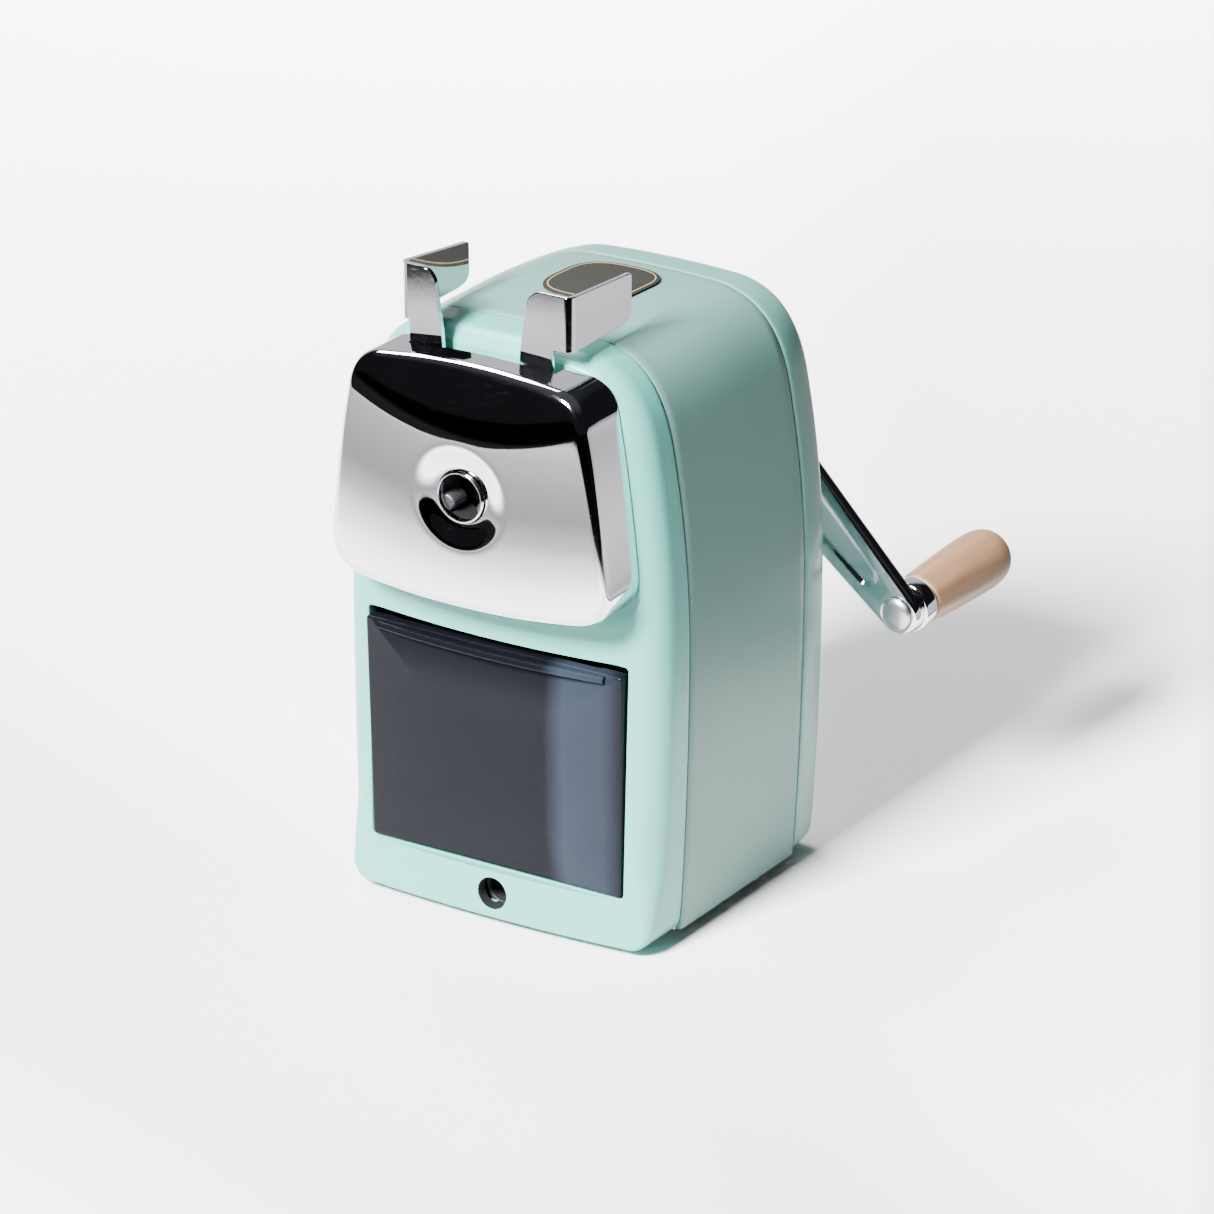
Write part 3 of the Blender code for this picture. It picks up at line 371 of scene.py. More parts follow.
def inset(outline, amount, closed=True):
    """Moves an outline inwards, by one amount or by one for each point."""
    moved = []
    count = len(outline)
    amounts = amount if isinstance(amount, list) else [amount] * count
    for i, (x, z) in enumerate(outline):
        before = outline[(i - 1) % count] if closed or i else outline[i]
        after = outline[(i + 1) % count] if closed or i < count - 1 else outline[i]
        run = Vector((after[0] - before[0], after[1] - before[1])).normalized()
        moved.append((x - run.y * amounts[i], z + run.x * amounts[i]))
    return moved


def shrunk(outline, share, middle_z):
    """The outline drawn in towards its middle."""
    return [(x * share, middle_z + (z - middle_z) * share) for x, z in outline]


def bend(start, control, end, steps):
    """A soft corner from start to end."""
    points = []
    for i in range(1, steps + 1):
        t = i / steps
        weights = ((1 - t) ** 2, 2 * t * (1 - t), t * t)
        points.append(tuple(sum(w * p[k] for w, p in zip(weights, (start, control, end))) for k in (0, 1)))
    return points


def mirrored(right):
    """The whole outline from its right half."""
    return [(-x, z) for x, z in reversed(right) if abs(x) > 1e-6] + right


def coil(centre, radius, wire, span, turns, axis):
    """A round wire wound along X or Y, closed up at both ends."""
    sides, steps = 10, 32
    path = []
    total = turns * steps
    for i in range(total + 1):
        angle = 2 * math.pi * i / steps
        share = i / total
        share -= 0.14 * math.sin(2 * math.pi * share) / (2 * math.pi)
        along = span[0] + (span[1] - span[0]) * share
        a, b = radius * math.cos(angle), radius * math.sin(angle)
        if axis == "Y":
            path.append(Vector((centre[0] + a, along, centre[2] + b)))
        else:
            path.append(Vector((along, centre[1] + a, centre[2] + b)))
    rings = []
    for i, point in enumerate(path):
        run = (path[min(i + 1, total)] - path[max(i - 1, 0)]).normalized()
        across = run.cross(Vector((0.12, 0.2, 0.97))).normalized()
        upward = run.cross(across)
        rings.append([point + wire * (math.cos(2 * math.pi * k / sides) * across
                                      + math.sin(2 * math.pi * k / sides) * upward) for k in range(sides)])
    return skin(rings)


def mesh_object(name, bm):
    """A linked object in metres, with its faces turned outwards."""
    bmesh.ops.recalc_face_normals(bm, faces=bm.faces)
    if bm.calc_volume(signed=True) < 0:
        bmesh.ops.reverse_faces(bm, faces=bm.faces)
    for vertex in bm.verts:
        vertex.co = vertex.co * MM
    mesh = bpy.data.meshes.new(name)
    bm.to_mesh(mesh)
    bm.free()
    made = bpy.data.objects.new(name, mesh)
    bpy.context.scene.collection.objects.link(made)
    return made


def shaped(name, bm, operations=(), rounding=0.0, angle=35.0):
    """One finished mesh: its Booleans and edge rounding are applied and the helpers removed."""
    made = mesh_object(name, bm)
    helpers = []
    for index, (operation, tool_bm) in enumerate(operations):
        helper = mesh_object(f"{name}_tool_{index}", tool_bm)
        helpers.append(helper)
        modifier = made.modifiers.new("shape", "BOOLEAN")
        modifier.operation = operation
        modifier.solver = "EXACT"
        modifier.object = helper
    if rounding:
        modifier = made.modifiers.new("edges", "BEVEL")
        modifier.width = rounding * MM
        modifier.segments = 3
        modifier.limit_method = "ANGLE"
        modifier.angle_limit = math.radians(38)
        modifier.use_clamp_overlap = True
    bpy.context.view_layer.update()
    graph = bpy.context.evaluated_depsgraph_get()
    mesh = bpy.data.meshes.new_from_object(made.evaluated_get(graph))
    made.modifiers.clear()
    made.data = mesh
    mesh.name = name
    for helper in helpers:
        bpy.data.objects.remove(helper)
    for polygon in mesh.polygons:
        polygon.use_smooth = True
    mesh.set_sharp_from_angle(angle=math.radians(angle))
    return made


def even_normals(made):
    """Lets large flat faces set the shading, so that a mirror finish shows no false curves."""
    modifier = made.modifiers.new("even_normals", "WEIGHTED_NORMAL")
    modifier.mode = "FACE_AREA"
    modifier.weight = 100
    modifier.keep_sharp = True
    return made


def piece(made, look, slot, body, *nodes):
    """Gives a piece its finish and its body, and hides the CAD nodes that it stands for; slot is not used."""
    made.data.materials.clear()
    made.data.materials.append(look)
    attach(made, body)
    if nodes:
        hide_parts(*nodes)
    return made


# ------------------------------------------------------------- shared shapes


def side_half(height):
    """Half of the case's width at a height above its base."""
    if height < BELLY_HEIGHT:
        return BELLY_HALF - (BELLY_HALF - BASE_HALF) * ((BELLY_HEIGHT - height) / BELLY_HEIGHT) ** 2
    return BELLY_HALF - (height - BELLY_HEIGHT) ** 2 / (2 * SIDE_RADIUS)


def body_right(rounded_bottom):
    """The right half of the case's outline, from its foot up to the middle of its crown."""
    points = []
    if rounded_bottom:
        points += [(x, 0.0) for x in (0.0, 5.0, 10.0, 15.0, 20.0)]
        corner = BASE_HALF + 0.2
        for i in range(13):
            angle = math.radians(-90 + 90 * i / 12)
            x = corner - BOTTOM_CORNER * (1 - math.cos(angle))
            points.append((x, BOTTOM_CORNER * (1 + math.sin(angle))))
        start = 6.5
    else:
        start = SHELL_LIFT
    steps = 30
    for i in range(steps + 1):
        height = start + (SHOULDER_HEIGHT - start) * i / steps
        points.append((side_half(height), height))
    slope = (SHOULDER_HEIGHT - BELLY_HEIGHT) / SIDE_RADIUS
    crown = BODY_HEIGHT - CROWN_HALF**2 / (2 * CROWN_RADIUS)
    fall = CROWN_HALF / CROWN_RADIUS
    rise = (crown - SHOULDER_HEIGHT - fall * (points[-1][0] - CROWN_HALF)) / (1 - fall * slope)
    control = (points[-1][0] - slope * rise, SHOULDER_HEIGHT + rise)
    points += bend(points[-1], control, (CROWN_HALF, crown), 24)
    points += [(x, BODY_HEIGHT - x * x / (2 * CROWN_RADIUS)) for x in (10.5, 7.0, 3.5, 0.0)]
    return [(x, z + BASE_Z) for x, z in points]


def face_y(x, z):
    """The front panel's bowed face."""
    height = z - MIDDLE_Z
    radius = 780.0 if height > 0 else 6000.0
    flatter = 1.0 - 0.45 * min(height / BELLY_HEIGHT, 0.0) ** 2
    return -30.2 + flatter * x * x / (2 * BOW_RADIUS) + height**2 / (2 * radius)


def rear_y(x, z):
    """The rear panel's face."""
    return 33.8 - x * x / 1200.0 - (z - MIDDLE_Z) ** 2 / 4000.0


def drawer_y(x, z):
    """The drawer's face, bowed like the panel round it."""
    return -31.5 + x * x / (2 * BOW_RADIUS) + (z - MIDDLE_Z) ** 2 * 0.00035


def lower_rear(bm):
    """Lets the crown fall gently towards the back."""
    for vertex in bm.verts:
        share = max(0.0, (vertex.co.z - MIDDLE_Z) / BELLY_HEIGHT)
        vertex.co.z -= share * max(0.0, vertex.co.y) ** 2 / 380.0
    return bm


def narrow_rear(bm):
    """Curves the rear panel's sides gently inwards towards its back."""
    for vertex in bm.verts:
        run = min(max(vertex.co.y - REAR_SEAM_Y, 0.0), 12.0)
        taper = REAR_SIDE_RADIUS - math.sqrt(REAR_SIDE_RADIUS**2 - run**2)
        vertex.co.x -= taper * max(-1.0, min(1.0, vertex.co.x / BELLY_HALF))
    return bm


def head_outline(grow=0.0, steps=4):
    right = [(0.0, 65.3), (11.5, 65.5), (22.5, 66.3)]
    right += bend((22.5, 66.3), (29.3, 66.9), (29.4, 73.5), 8)
    right += [(28.7, 80.5), (27.75, 87.8), (26.6, 95.2), (25.2, 102.5)]
    right += bend((25.2, 102.5), (24.3, 109.6), (18.0, 110.0), 8)
    right += [(9.0, 110.9), (0.0, 111.2)]
    return inset(smooth(mirrored(right), steps), -grow)


def head_y(x, z):
    """The head's face: bowed, dished round the pencil hole and bent back above BEND_Z."""
    fall = min(1.0, max(0.0, (math.hypot(x, z - AXIS_Z) - DISH_RADIUS) / DISH_WIDTH))
    dish = 1.0 - fall * fall * (3.0 - 2.0 * fall)
    above = max(z - BEND_Z - (x / 24.0) ** 2 * 5.2, 0.0)
    roll = 0.1 * above * above / (above + 1.6) + 0.0055 * above * above
    return -40.1 + x * x / 340.0 + (z - 88.0) ** 2 * 0.0012 + roll + DISH_DEPTH * dish


def on_face(outline, face, depth=0.0):
    """An outline laid on a face, or at a depth behind it."""
    return [Vector((x, face(x, z) + depth, z)) for x, z in outline]


def at_level(outline, y):
    """An outline in the plane at y."""
    return [Vector((x, y, z)) for x, z in outline]


def flared(outline, face, profile, deep):
    """A cutter that follows a bowed face, so that the edge it leaves is rounded."""
    rings = [at_level(outline, deep)]
    for grow, depth in profile:
        rings.append(on_face(inset(outline, -grow), face, depth))
    rings.append(at_level(inset(outline, -profile[-1][0]), -60.0))
    return skin(rings)


def lip(radius):
    """Profile of a rounded outer edge."""
    spots = []
    for k in range(6):
        angle = math.radians(84 * k / 5)
        spots.append((radius * (1 - math.cos(angle)), radius * (1 - math.sin(angle))))
    return spots + [(radius, -0.6)]


def cup(outline, face, way, rounds, wall, seam_y):
    """A shallow panel open at its seam. Its edge is rounded by rounds, at the foot and above it."""
    radii = []
    for x, z in outline:
        radii.append(rounds[0] + (rounds[1] - rounds[0]) * min(1.0, max(0.0, (z - BASE_Z) / 16.0)))
    rings = []
    for depth in (0.0, wall):
        sheet = [on_face([(0.0, MIDDLE_Z)], face, -way * depth)]
        inner = [max(radius - depth, 0.4) for radius in radii]
        core = inset(outline, [depth + radius for radius in inner])
        for share in (0.08, 0.2, 0.32, 0.44, 0.56, 0.68, 0.8, 0.9, 0.96):
            sheet.append(on_face(shrunk(core, share, MIDDLE_Z), face, -way * depth))
        for angle in range(90, -1, -9 if depth == 0 else -30):
            lean = math.radians(angle)
            loop = inset(outline, [depth + radius * (1 - math.cos(lean)) for radius in inner])
            drops = [depth + radius * (1 - math.sin(lean)) for radius in inner]
            sheet.append([Vector((x, face(x, z) - way * drop, z)) for (x, z), drop in zip(loop, drops)])
        if depth == 0:
            start = sheet[-1]
            for share in (0.15, 0.3, 0.45, 0.6, 0.75, 0.88):
                sheet.append([Vector((p.x, p.y + (seam_y + way * 0.4 - p.y) * share, p.z)) for p in start])
            for back, edge in ((0.30, 0.0), (0.09, 0.09), (0.0, 0.30)):
                sheet.append(at_level(inset(outline, edge), seam_y + way * back))
            rings += sheet
        else:
            sheet.append(at_level(inset(outline, depth), seam_y))
            rings += sheet[::-1]
    return skin(rings)


# ------------------------------------------------------------- case


def front_panel():
    outline = mirrored(body_right(True))
    edge = inset(head_outline(), 0.6)
    backing = skin([on_face(edge, face_y, 1.5), at_level(edge, -25.4)])
    rim = head_outline(0.3)
    floor_depth = 0.8
    profile = [(0.0, floor_depth), (0.35, 0.76), (0.6, 0.66), (0.8, 0.5), (0.95, 0.33), (1.15, 0.17),
               (1.4, 0.06), (1.75, -0.02)]
    recess = [on_face([(0, AXIS_Z)], face_y, floor_depth)]
    for share in (0.2, 0.4, 0.6, 0.8):
        recess.append(on_face(shrunk(rim, share, AXIS_Z), face_y, floor_depth))
    for grow, depth in profile:
        recess.append(on_face(inset(rim, -grow), face_y, depth))
    recess.append(at_level(inset(rim, -1.9), -50.0))
    recess.append([Vector((0, -50, AXIS_Z))])
    low, high = DRAWER_Z
    narrow, wide = [half + 0.35 for half in DRAWER_HALVES]
    mouth = fillet([(-narrow, low - 0.3), (narrow, low - 0.3), (wide, high + 1.5), (-wide, high + 1.5)], 0.9)
    hole = [(0, -60), (3.35, -60), (3.35, -30.6), (3.3, -30.15), (3.1, -29.95), (CLAMP_RADIUS, -29.6),
            (CLAMP_RADIUS, -20), (0, -20)]
    made = shaped("front_panel_moulding", cup(outline, face_y, -1, (0.8, 5.0), PANEL_WALL, SEAM_Y), [
        (JOIN, backing),
        (CUT, skin(recess)),
        (CUT, prism(inset(head_outline(), 1.0), -34, -27.4)),   # room for the head's back plate
        (CUT, flared(mouth, face_y, lip(0.35), -17.6)),         # the drawer's mouth
        (CUT, block((-7.3, 7.3), (-26.6, 4.3), (-3, 10.8))),    # room for the clamp socket
        (CUT, lathe(hole, (0, 0, CLAMP_Z))),
        (CUT, rod(4.8, -40, -20, z=AXIS_Z)),
        (CUT, rod(ROD_HOLE, -40, -20, -ROD[0], ROD[1])),
        (CUT, rod(ROD_HOLE, -40, -20, ROD[0], ROD[1])),
    ], angle=32)
    piece(made, MINT_PLASTIC, "mint_plastic", "case", "front_panel")
    # The clamp hole's walls take the black finish: painted shade, so that the hole reads dark inside.
    made.data.materials.append(BLACK)
    for polygon in made.data.polygons:
        spot = polygon.center / MM
        if math.hypot(spot.x, spot.z - CLAMP_Z) < 3.6 and abs(polygon.normal.y) < 0.5:
            polygon.material_index = 1


def body_shell():
    right = body_right(False)
    outer = right + [(-x, z) for x, z in reversed(right[:-1])]
    y0, y1 = SHELL_Y
    profile = [(0.35, y0), (0.12, y0 + 0.1), (0.0, y0 + 0.35)]
    profile += [(0.0, y0 + 0.35 + (y1 - y0 - 0.7) * i / 24) for i in range(1, 25)]
    profile += [(0.12, y1 - 0.1), (0.35, y1), (SHELL_THICK, y1), (SHELL_THICK, 8.0), (SHELL_THICK, y0)]
    depths = sorted({depth for depth, y in profile})
    loops = {depth: inset(outer, depth, closed=False) for depth in depths}
    for depth in depths:
        loops[depth][0] = (outer[0][0] - depth, BASE_Z + SHELL_LIFT)
        loops[depth][-1] = (outer[-1][0] + depth, BASE_Z + SHELL_LIFT)
    rings = [[Vector((*loops[depth][i], y)).xzy for depth, y in profile] for i in range(len(outer))]
    made = shaped("painted_shell", lower_rear(skin(rings)), angle=32)
    piece(made, SHADED_MINT_PAINT, "mint_paint", "case", "body_shell")


def rear_panel():
    outline = mirrored(body_right(True))
    shape = narrow_rear(lower_rear(cup(outline, rear_y, 1, (3.0, 3.0), PANEL_WALL, REAR_SEAM_Y)))
    holes = [(CUT, rod(16.8, 20, 40, z=AXIS_Z, steps=96))]      # takes the mechanism housing
    holes += [(CUT, rod(1.8, 20, 40, way * SCREW_X, SCREW_Z, 32)) for side, way in SIDES]
    made = shaped("rear_panel_moulding", shape, holes, angle=32)
    piece(made, SHADED_REAR_PLASTIC, "mint_plastic", "case", "rear_panel")
    profile = [(0, 28.0), (1.5, 28.0), (1.5, 33.8), (3.0, 33.8), (3.2, 34.0), (3.15, 34.4), (2.6, 34.9),
               (1.6, 35.3), (0, 35.4)]
    for side, way in SIDES:
        x = way * SCREW_X
        slots = [(CUT, block((x - 2.0, x + 2.0), (34.5, 36), (SCREW_Z - 0.3, SCREW_Z + 0.3))),
                 (CUT, block((x - 0.3, x + 0.3), (34.5, 36), (SCREW_Z - 2.0, SCREW_Z + 2.0)))]
        turned = lathe(profile, (x, 0, SCREW_Z), steps=48)
        screw = shaped(f"rear_screw_{side}_head", turned, slots, rounding=0.05)
        piece(screw, STEEL, "steel", "case", f"rear_screw_{side}")


def mechanism_housing():
    profile = [(14.8, 16.6), (16.5, 16.6), (16.5, 34.1), (18.2, 34.1), (18.5, 34.4), (18.5, 35.0),
               (18.2, 35.4), (17.6, 35.8), (9.2, 35.8), (8.8, 35.9), (8.6, 36.2), (8.4, 36.9), (8.0, 37.2),
               (HUB_BORE, 37.2), (HUB_BORE, 29.4), (14.8, 29.4)]
    made = shaped("housing_moulding", lathe(profile, HUB, steps=120, closed=True))
    piece(made, GREY, "grey_plastic", "case", "mechanism_housing")


def plate_on_crown(name, outline, low, high):
    """A thin plate that follows the crown, between two heights above it."""
    middle_x = sum(x for x, y in outline) / len(outline)
    middle_y = sum(y for x, y in outline) / len(outline)
    rings = []
    for share, rise, edge in (
        (0, low, 0), (0.3, low, 0), (0.6, low, 0), (1, low, 0), (1, high - 0.06, 0.0), (1, high - 0.02, 0.04),
        (1, high, 0.12), (0.75, high, 0), (0.5, high, 0), (0.25, high, 0), (0, high, 0),
    ):
        loop = inset(outline, edge)
        loop = [(middle_x + (x - middle_x) * share, middle_y + (y - middle_y) * share) for x, y in loop]
        if share == 0:
            loop = loop[:1]
        rings.append([Vector((x, y, CROWN_Z + rise - x * x / (2 * CROWN_RADIUS))) for x, y in loop])
    return shaped(name, lower_rear(skin(rings)), angle=40)


def top_label():
    corners = [(-9.0, -3.5), (9.0, -3.5), (9.0, 17.5), (-9.0, 17.5)]
    outline = fillet(corners, 8.1, 16)
    plate = plate_on_crown("label_plate", outline, 0.15, 0.46)
    piece(plate, LABEL, "label_foil", "case", "top_label")
    rings = []
    for edge, rise in ((0.75, 0.44), (0.75, 0.49), (0.95, 0.49), (0.95, 0.44)):
        loop = inset(outline, edge)
        rings.append([Vector((x, y, CROWN_Z + rise - x * x / (2 * CROWN_RADIUS))) for x, y in loop])
    made = shaped("label_border", lower_rear(skin(rings, closed=True)), angle=40)
    piece(made, GILT, "label_foil", "case")


def base_pad():
    outline = fillet([(-26.5, -22.5), (26.5, -22.5), (26.5, 22.5), (-26.5, 22.5)], 7.0, 14)
    rings = []
    for z, edge in ((0.0, 0.3), (0.1, 0.08), (0.35, 0.0), (0.9, 0.0), (1.15, 0.1), (1.3, 0.4)):
        rings.append([Vector((x, y, z)) for x, y in inset(outline, edge)])
    piece(shaped("foot_pad", skin(rings)), RUBBER, "black_rubber", "case", "base_pad")


def clamp_socket():
    made = shaped("clamp_block", block((-7.0, 7.0), (-26.3, 4.0), (1.6, 10.5)),
                  [(CUT, rod(CLAMP_RADIUS, -40, 0, z=CLAMP_Z))], rounding=0.25)
    piece(made, BLACK, "black_plastic", "case", "clamp_socket")


# ------------------------------------------------------------- drawer


def tray_shape(half, behind, rear, low, high, corner):
    """The drawer's box, or its hollow, with a front that follows the drawer's face."""
    levels = fillet([(-half, -1), (half, -1), (half, rear), (-half, rear)], corner, 6)
    rings = []
    for z, edge in ((low, corner * 0.35), (low + corner * 0.35, 0.0), (high, 0.0)):
        ring = []
        for x, y in inset(levels, edge):
            if y < 5:
                y = drawer_y(x, z) + behind + (y + 1) * 0.9 + edge
            ring.append(Vector((x, y, z)))
        rings.append(ring)
    return skin(rings)


def drawer():
    low, high = DRAWER_Z
    narrow, wide = DRAWER_HALVES
    outline = fillet([(-narrow, low), (narrow, low), (wide, high), (-wide, high)], 0.7, 6)
    middle = (low + high) / 2
    radius = 0.35
    rings = []
    for way, base in ((1, 0.0), (-1, 2.8)):
        sheet = [on_face([(0, middle)], drawer_y, base)]
        for share in (0.15, 0.3, 0.45, 0.6, 0.75, 0.9, 0.96, 0.98):
            sheet.append(on_face(shrunk(outline, share, middle), drawer_y, base))
        for angle in (90, 70, 50, 30, 15, 0):
            lean = math.radians(angle)
            loop = inset(outline, radius * (1 - math.cos(lean)))
            sheet.append(on_face(loop, drawer_y, base + way * radius * (1 - math.sin(lean))))
        rings += sheet if way == 1 else sheet[::-1]
    section = fillet([(-32.3, 53.5), (-29.6, 53.0), (-29.6, 54.7), (-32.0, 54.7)], 0.35, 4)
    grip = []
    for i in range(13):
        x = -24.0 + 4.0 * i
        grip.append([Vector((x, y + x * x / (2 * BOW_RADIUS), z)) for y, z in section])
    made = shaped("drawer_moulding", skin(rings), [
        (JOIN, tray_shape(24.4, 1.0, 19.5, 12.4, 49.0, 3.0)),
        (CUT, tray_shape(22.9, 2.8, 18.0, 13.9, 60.0, 2.0)),
        (JOIN, skin(grip)),
    ], angle=32)
    piece(made, SMOKE, "smoke_plastic", "drawer", "drawer")


# ------------------------------------------------------------- head


def head_cover():
    outline = head_outline(steps=5)
    angles = [math.atan2(z - AXIS_Z, x) for x, z in outline]

    def circle(radius):
        return [(radius * math.cos(a), AXIS_Z + radius * math.sin(a)) for a in angles]

    radii = (INLET_RADIUS, 5.5, 5.9, 6.3, 6.8, 7.3, 7.8, 8.3, 8.8, 9.3, 9.8, 10.4, 11.2)
    steps = 24
    rings = []
    for depth in (0.0, HEAD_THICK):
        loops = [circle(radius) for radius in radii]
        start = loops[-1]
        core = inset(outline, HEAD_ROUND)
        for i in range(1, steps):
            t = i / steps
            loops.append([(a[0] + (b[0] - a[0]) * t, a[1] + (b[1] - a[1]) * t) for a, b in zip(start, core)])
        sheet = [on_face(loop, head_y, depth) for loop in loops]
        if depth:
            for ring in sheet[:len(radii)]:
                for point in ring:
                    point.y = min(point.y, CHUCK_Y)
        turn = HEAD_ROUND - depth
        for angle in range(90, -1, -9 if depth == 0 else -30):
            lean = math.radians(angle)
            loop = inset(outline, depth + turn * (1 - math.cos(lean)))
            sheet.append(on_face(loop, head_y, depth + turn * (1 - math.sin(lean))))
        if depth == 0:
            lower = [Vector((p.x, face_y(p.x, p.z) + 0.42, p.z)) for p in sheet[-1]]
            for share in (0.35, 0.7, 1.0):
                sheet.append([a.lerp(b, share) for a, b in zip(sheet[-1], lower)])
        else:
            sheet[0] = at_level(circle(INLET_RADIUS), CHUCK_Y)
        sheet.append(on_face(inset(outline, 0.1 if depth == 0 else depth), face_y, 0.5))
        rings += sheet if depth == 0 else sheet[::-1]
    opening = fillet([(-16.4, -31.5), (14.6, -31.5), (14.6, -20), (-16.4, -20)], 1.0)
    slot = skin([[Vector((x, y, z)) for x, y in opening] for z in (104, 120)])
    made = shaped("head_shell", skin(rings, closed=True), [(CUT, slot)], angle=38)
    piece(made, CHROME, "chrome", "head", "head_cover")


def inlet_ring():
    profile = [(4.35, -39.4), (4.38, -39.56), (4.47, -39.65), (4.6, -39.67), (4.7, -39.63), (4.78, -39.54),
               (4.8, -39.4), (4.8, -38.3), (4.35, -38.3)]
    made = shaped("bright_ring", lathe(profile, HUB, closed=True))
    piece(made, CHROME, "chrome", "head", "inlet_ring")


def turned_to(bm, angle):
    """Turns a shape clockwise round the pencil hole, as seen from the front."""
    turn = Matrix.Translation(HUB) @ Matrix.Rotation(math.radians(-angle), 4, "Y")
    bmesh.ops.transform(bm, matrix=turn, verts=bm.verts)
    return bm


def chuck():
    profile = [(4.8, -37.9), (5.2, -37.9), (10.3, -37.9), (10.6, -37.6), (10.6, -32.0), (4.8, -32.0)]
    slots = [(CUT, turned_to(block((-2.0, 2.0), (-41, -33.3), (0, 9.9)), angle)) for name, angle in JAWS]
    made = shaped("chuck_moulding", lathe(profile, HUB, closed=True), slots, rounding=0.12)
    piece(made, BLACK, "grey_plastic", "head", "chuck_housing")


def jaws():
    half, tip, root = 1.6, 4.5, 8.0
    points = [(-half, root)]
    for i in range(41):
        lean = math.radians(180 + 180 * i / 40)
        radius = half - (0.07 if i % 4 == 2 else 0.0)
        points.append((radius * math.cos(lean), tip + radius * math.sin(lean)))
    points.append((half, root))
    profile = ((-37.9, 0.86), (-37.82, 0.93), (-37.6, 0.98), (-37.3, 1.0), (-33.8, 1.0), (-33.6, 0.94))
    for name, angle in JAWS:
        rings = [at_level(shrunk(points, share, root), y) for y, share in profile]
        made = shaped(f"{name}_finger", turned_to(skin(rings), angle))
        piece(made, SHADED_JAW_STEEL, "tool_steel", name, name)


def lever(side, way, out, rear, fall):
    """One sheet cut flat, folded round its corner, with rounded edges."""
    length = FOLD_RADIUS * math.pi / 2
    wing = FOLD_X + length
    back = wing - LEVER_Y - FOLD_RADIUS
    top = LEVER_TOP - fall
    flat = [(back - 26.5, 114.7), (back + rear - 3.2, 114.9), (back + rear, 115.6), (back + rear, top - 0.1),
            (back + rear - 1.8, top), (wing, LEVER_TOP), (10.6 + out * 0.9, LEVER_TOP), (8.6 + out, 123.2),
            (8.2 + out, 120.0), (7.2 + out, 113.0), (7.0 + out, 109.5), (7.6, 104.0), (8.0, 97.0),
            (6.4, 92.6), (7.4, 91.0), (9.2, 91.8), (12.4, 93.2), (15.6, 95.6), (16.0, 98.4), (14.4, 102.5),
            (13.9 + out, 109.5), (14.0 + out, 114.5)]
    outline = fillet(flat, 0.4, 7, 0.48, special={2: 1.9, 3: 1.5, 6: 2.0, 7: 1.6})
    bm = skin([[Vector((u, depth, z)) for u, z in outline] for depth in (0.0, LEVER_THICK / 2, LEVER_THICK)])
    bmesh.ops.recalc_face_normals(bm, faces=bm.faces)
    for k in range(13):
        place = FOLD_X + length * k / 12
        parts = list(bm.verts) + list(bm.edges) + list(bm.faces)
        bmesh.ops.bisect_plane(bm, geom=parts, plane_co=(place, 0, 0), plane_no=(1, 0, 0), dist=1e-5)
    for vertex in bm.verts:
        u, depth, z = vertex.co
        if u <= FOLD_X:
            x, y = u, LEVER_Y + depth
        elif u < wing:
            angle = (u - FOLD_X) / FOLD_RADIUS
            x = FOLD_X + (FOLD_RADIUS - depth) * math.sin(angle)
            y = LEVER_Y + FOLD_RADIUS - (FOLD_RADIUS - depth) * math.cos(angle)
        else:
            x, y = FOLD_X + FOLD_RADIUS - depth, LEVER_Y + FOLD_RADIUS + (u - FOLD_X - length)
        vertex.co = Vector((way * x, y, z))
    tab = block(sorted((way * 8.5, way * 9.7)), (-34.8, -30.4), (102.4, 105.6))
    made = shaped(f"lever_{side}_sheet", bm, [(JOIN, tab), (CUT, rod(1.9, -40, -20, way * 12.0, 97.0))],
                  rounding=0.22, angle=30)
    piece(even_normals(made), CHROME, "chrome", f"lever_{side}", f"lever_{side}")


def springs():
    for side, way in SIDES:
        wound = coil((way * ROD[0], 0, ROD[1]), 3.1, 0.35, (-23.2, 21.0), 9, "Y")
        made = shaped(f"return_spring_{side}_coil", wound)
        piece(made, STEEL, "steel", "head", f"return_spring_{side}")
        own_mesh(made)
    made = shaped("lever_spring_coil", coil((0, -33.3, 104), 1.4, 0.25, (-7.9, 7.9), 8, "X"))
    piece(made, STEEL, "steel", "head", "lever_spring")
    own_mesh(made)


def rods():
    profile = [(0, -30.6), (3.1, -30.6), (3.4, -30.4), (3.4, -29.9), (2.0, -29.9), (2.0, 24.3), (1.9, 24.6),
               (1.6, 24.9), (0, 24.9)]
    for side, way in SIDES:
        made = shaped(f"guide_rod_{side}_bar", lathe(profile, (way * ROD[0], 0, ROD[1]), steps=48))
        piece(made, CHROME, "chrome", "head", f"guide_rod_{side}")


# ------------------------------------------------------------- crank


def arm_outline(hub_radius, end_radius, start=0.0, stop=None):
    """Two circles and their common tangents, along the line from the hub to the knob."""
    steps = 28
    run = Vector((KNOB[0], KNOB[1] - AXIS_Z))
    stop = run.length if stop is None else stop
    lean = math.atan2(run.y, run.x)
    spread = math.acos((hub_radius - end_radius) / (stop - start))
    outline = []
    for radius, along, first, last in (
        (hub_radius, start, spread, 2 * math.pi - spread), (end_radius, stop, -spread, spread),
    ):
        for i in range(steps + 1):
            angle = lean + first + (last - first) * i / steps
            outline.append((along * math.cos(lean) + radius * math.cos(angle),
                            AXIS_Z + along * math.sin(lean) + radius * math.sin(angle)))
    return outline


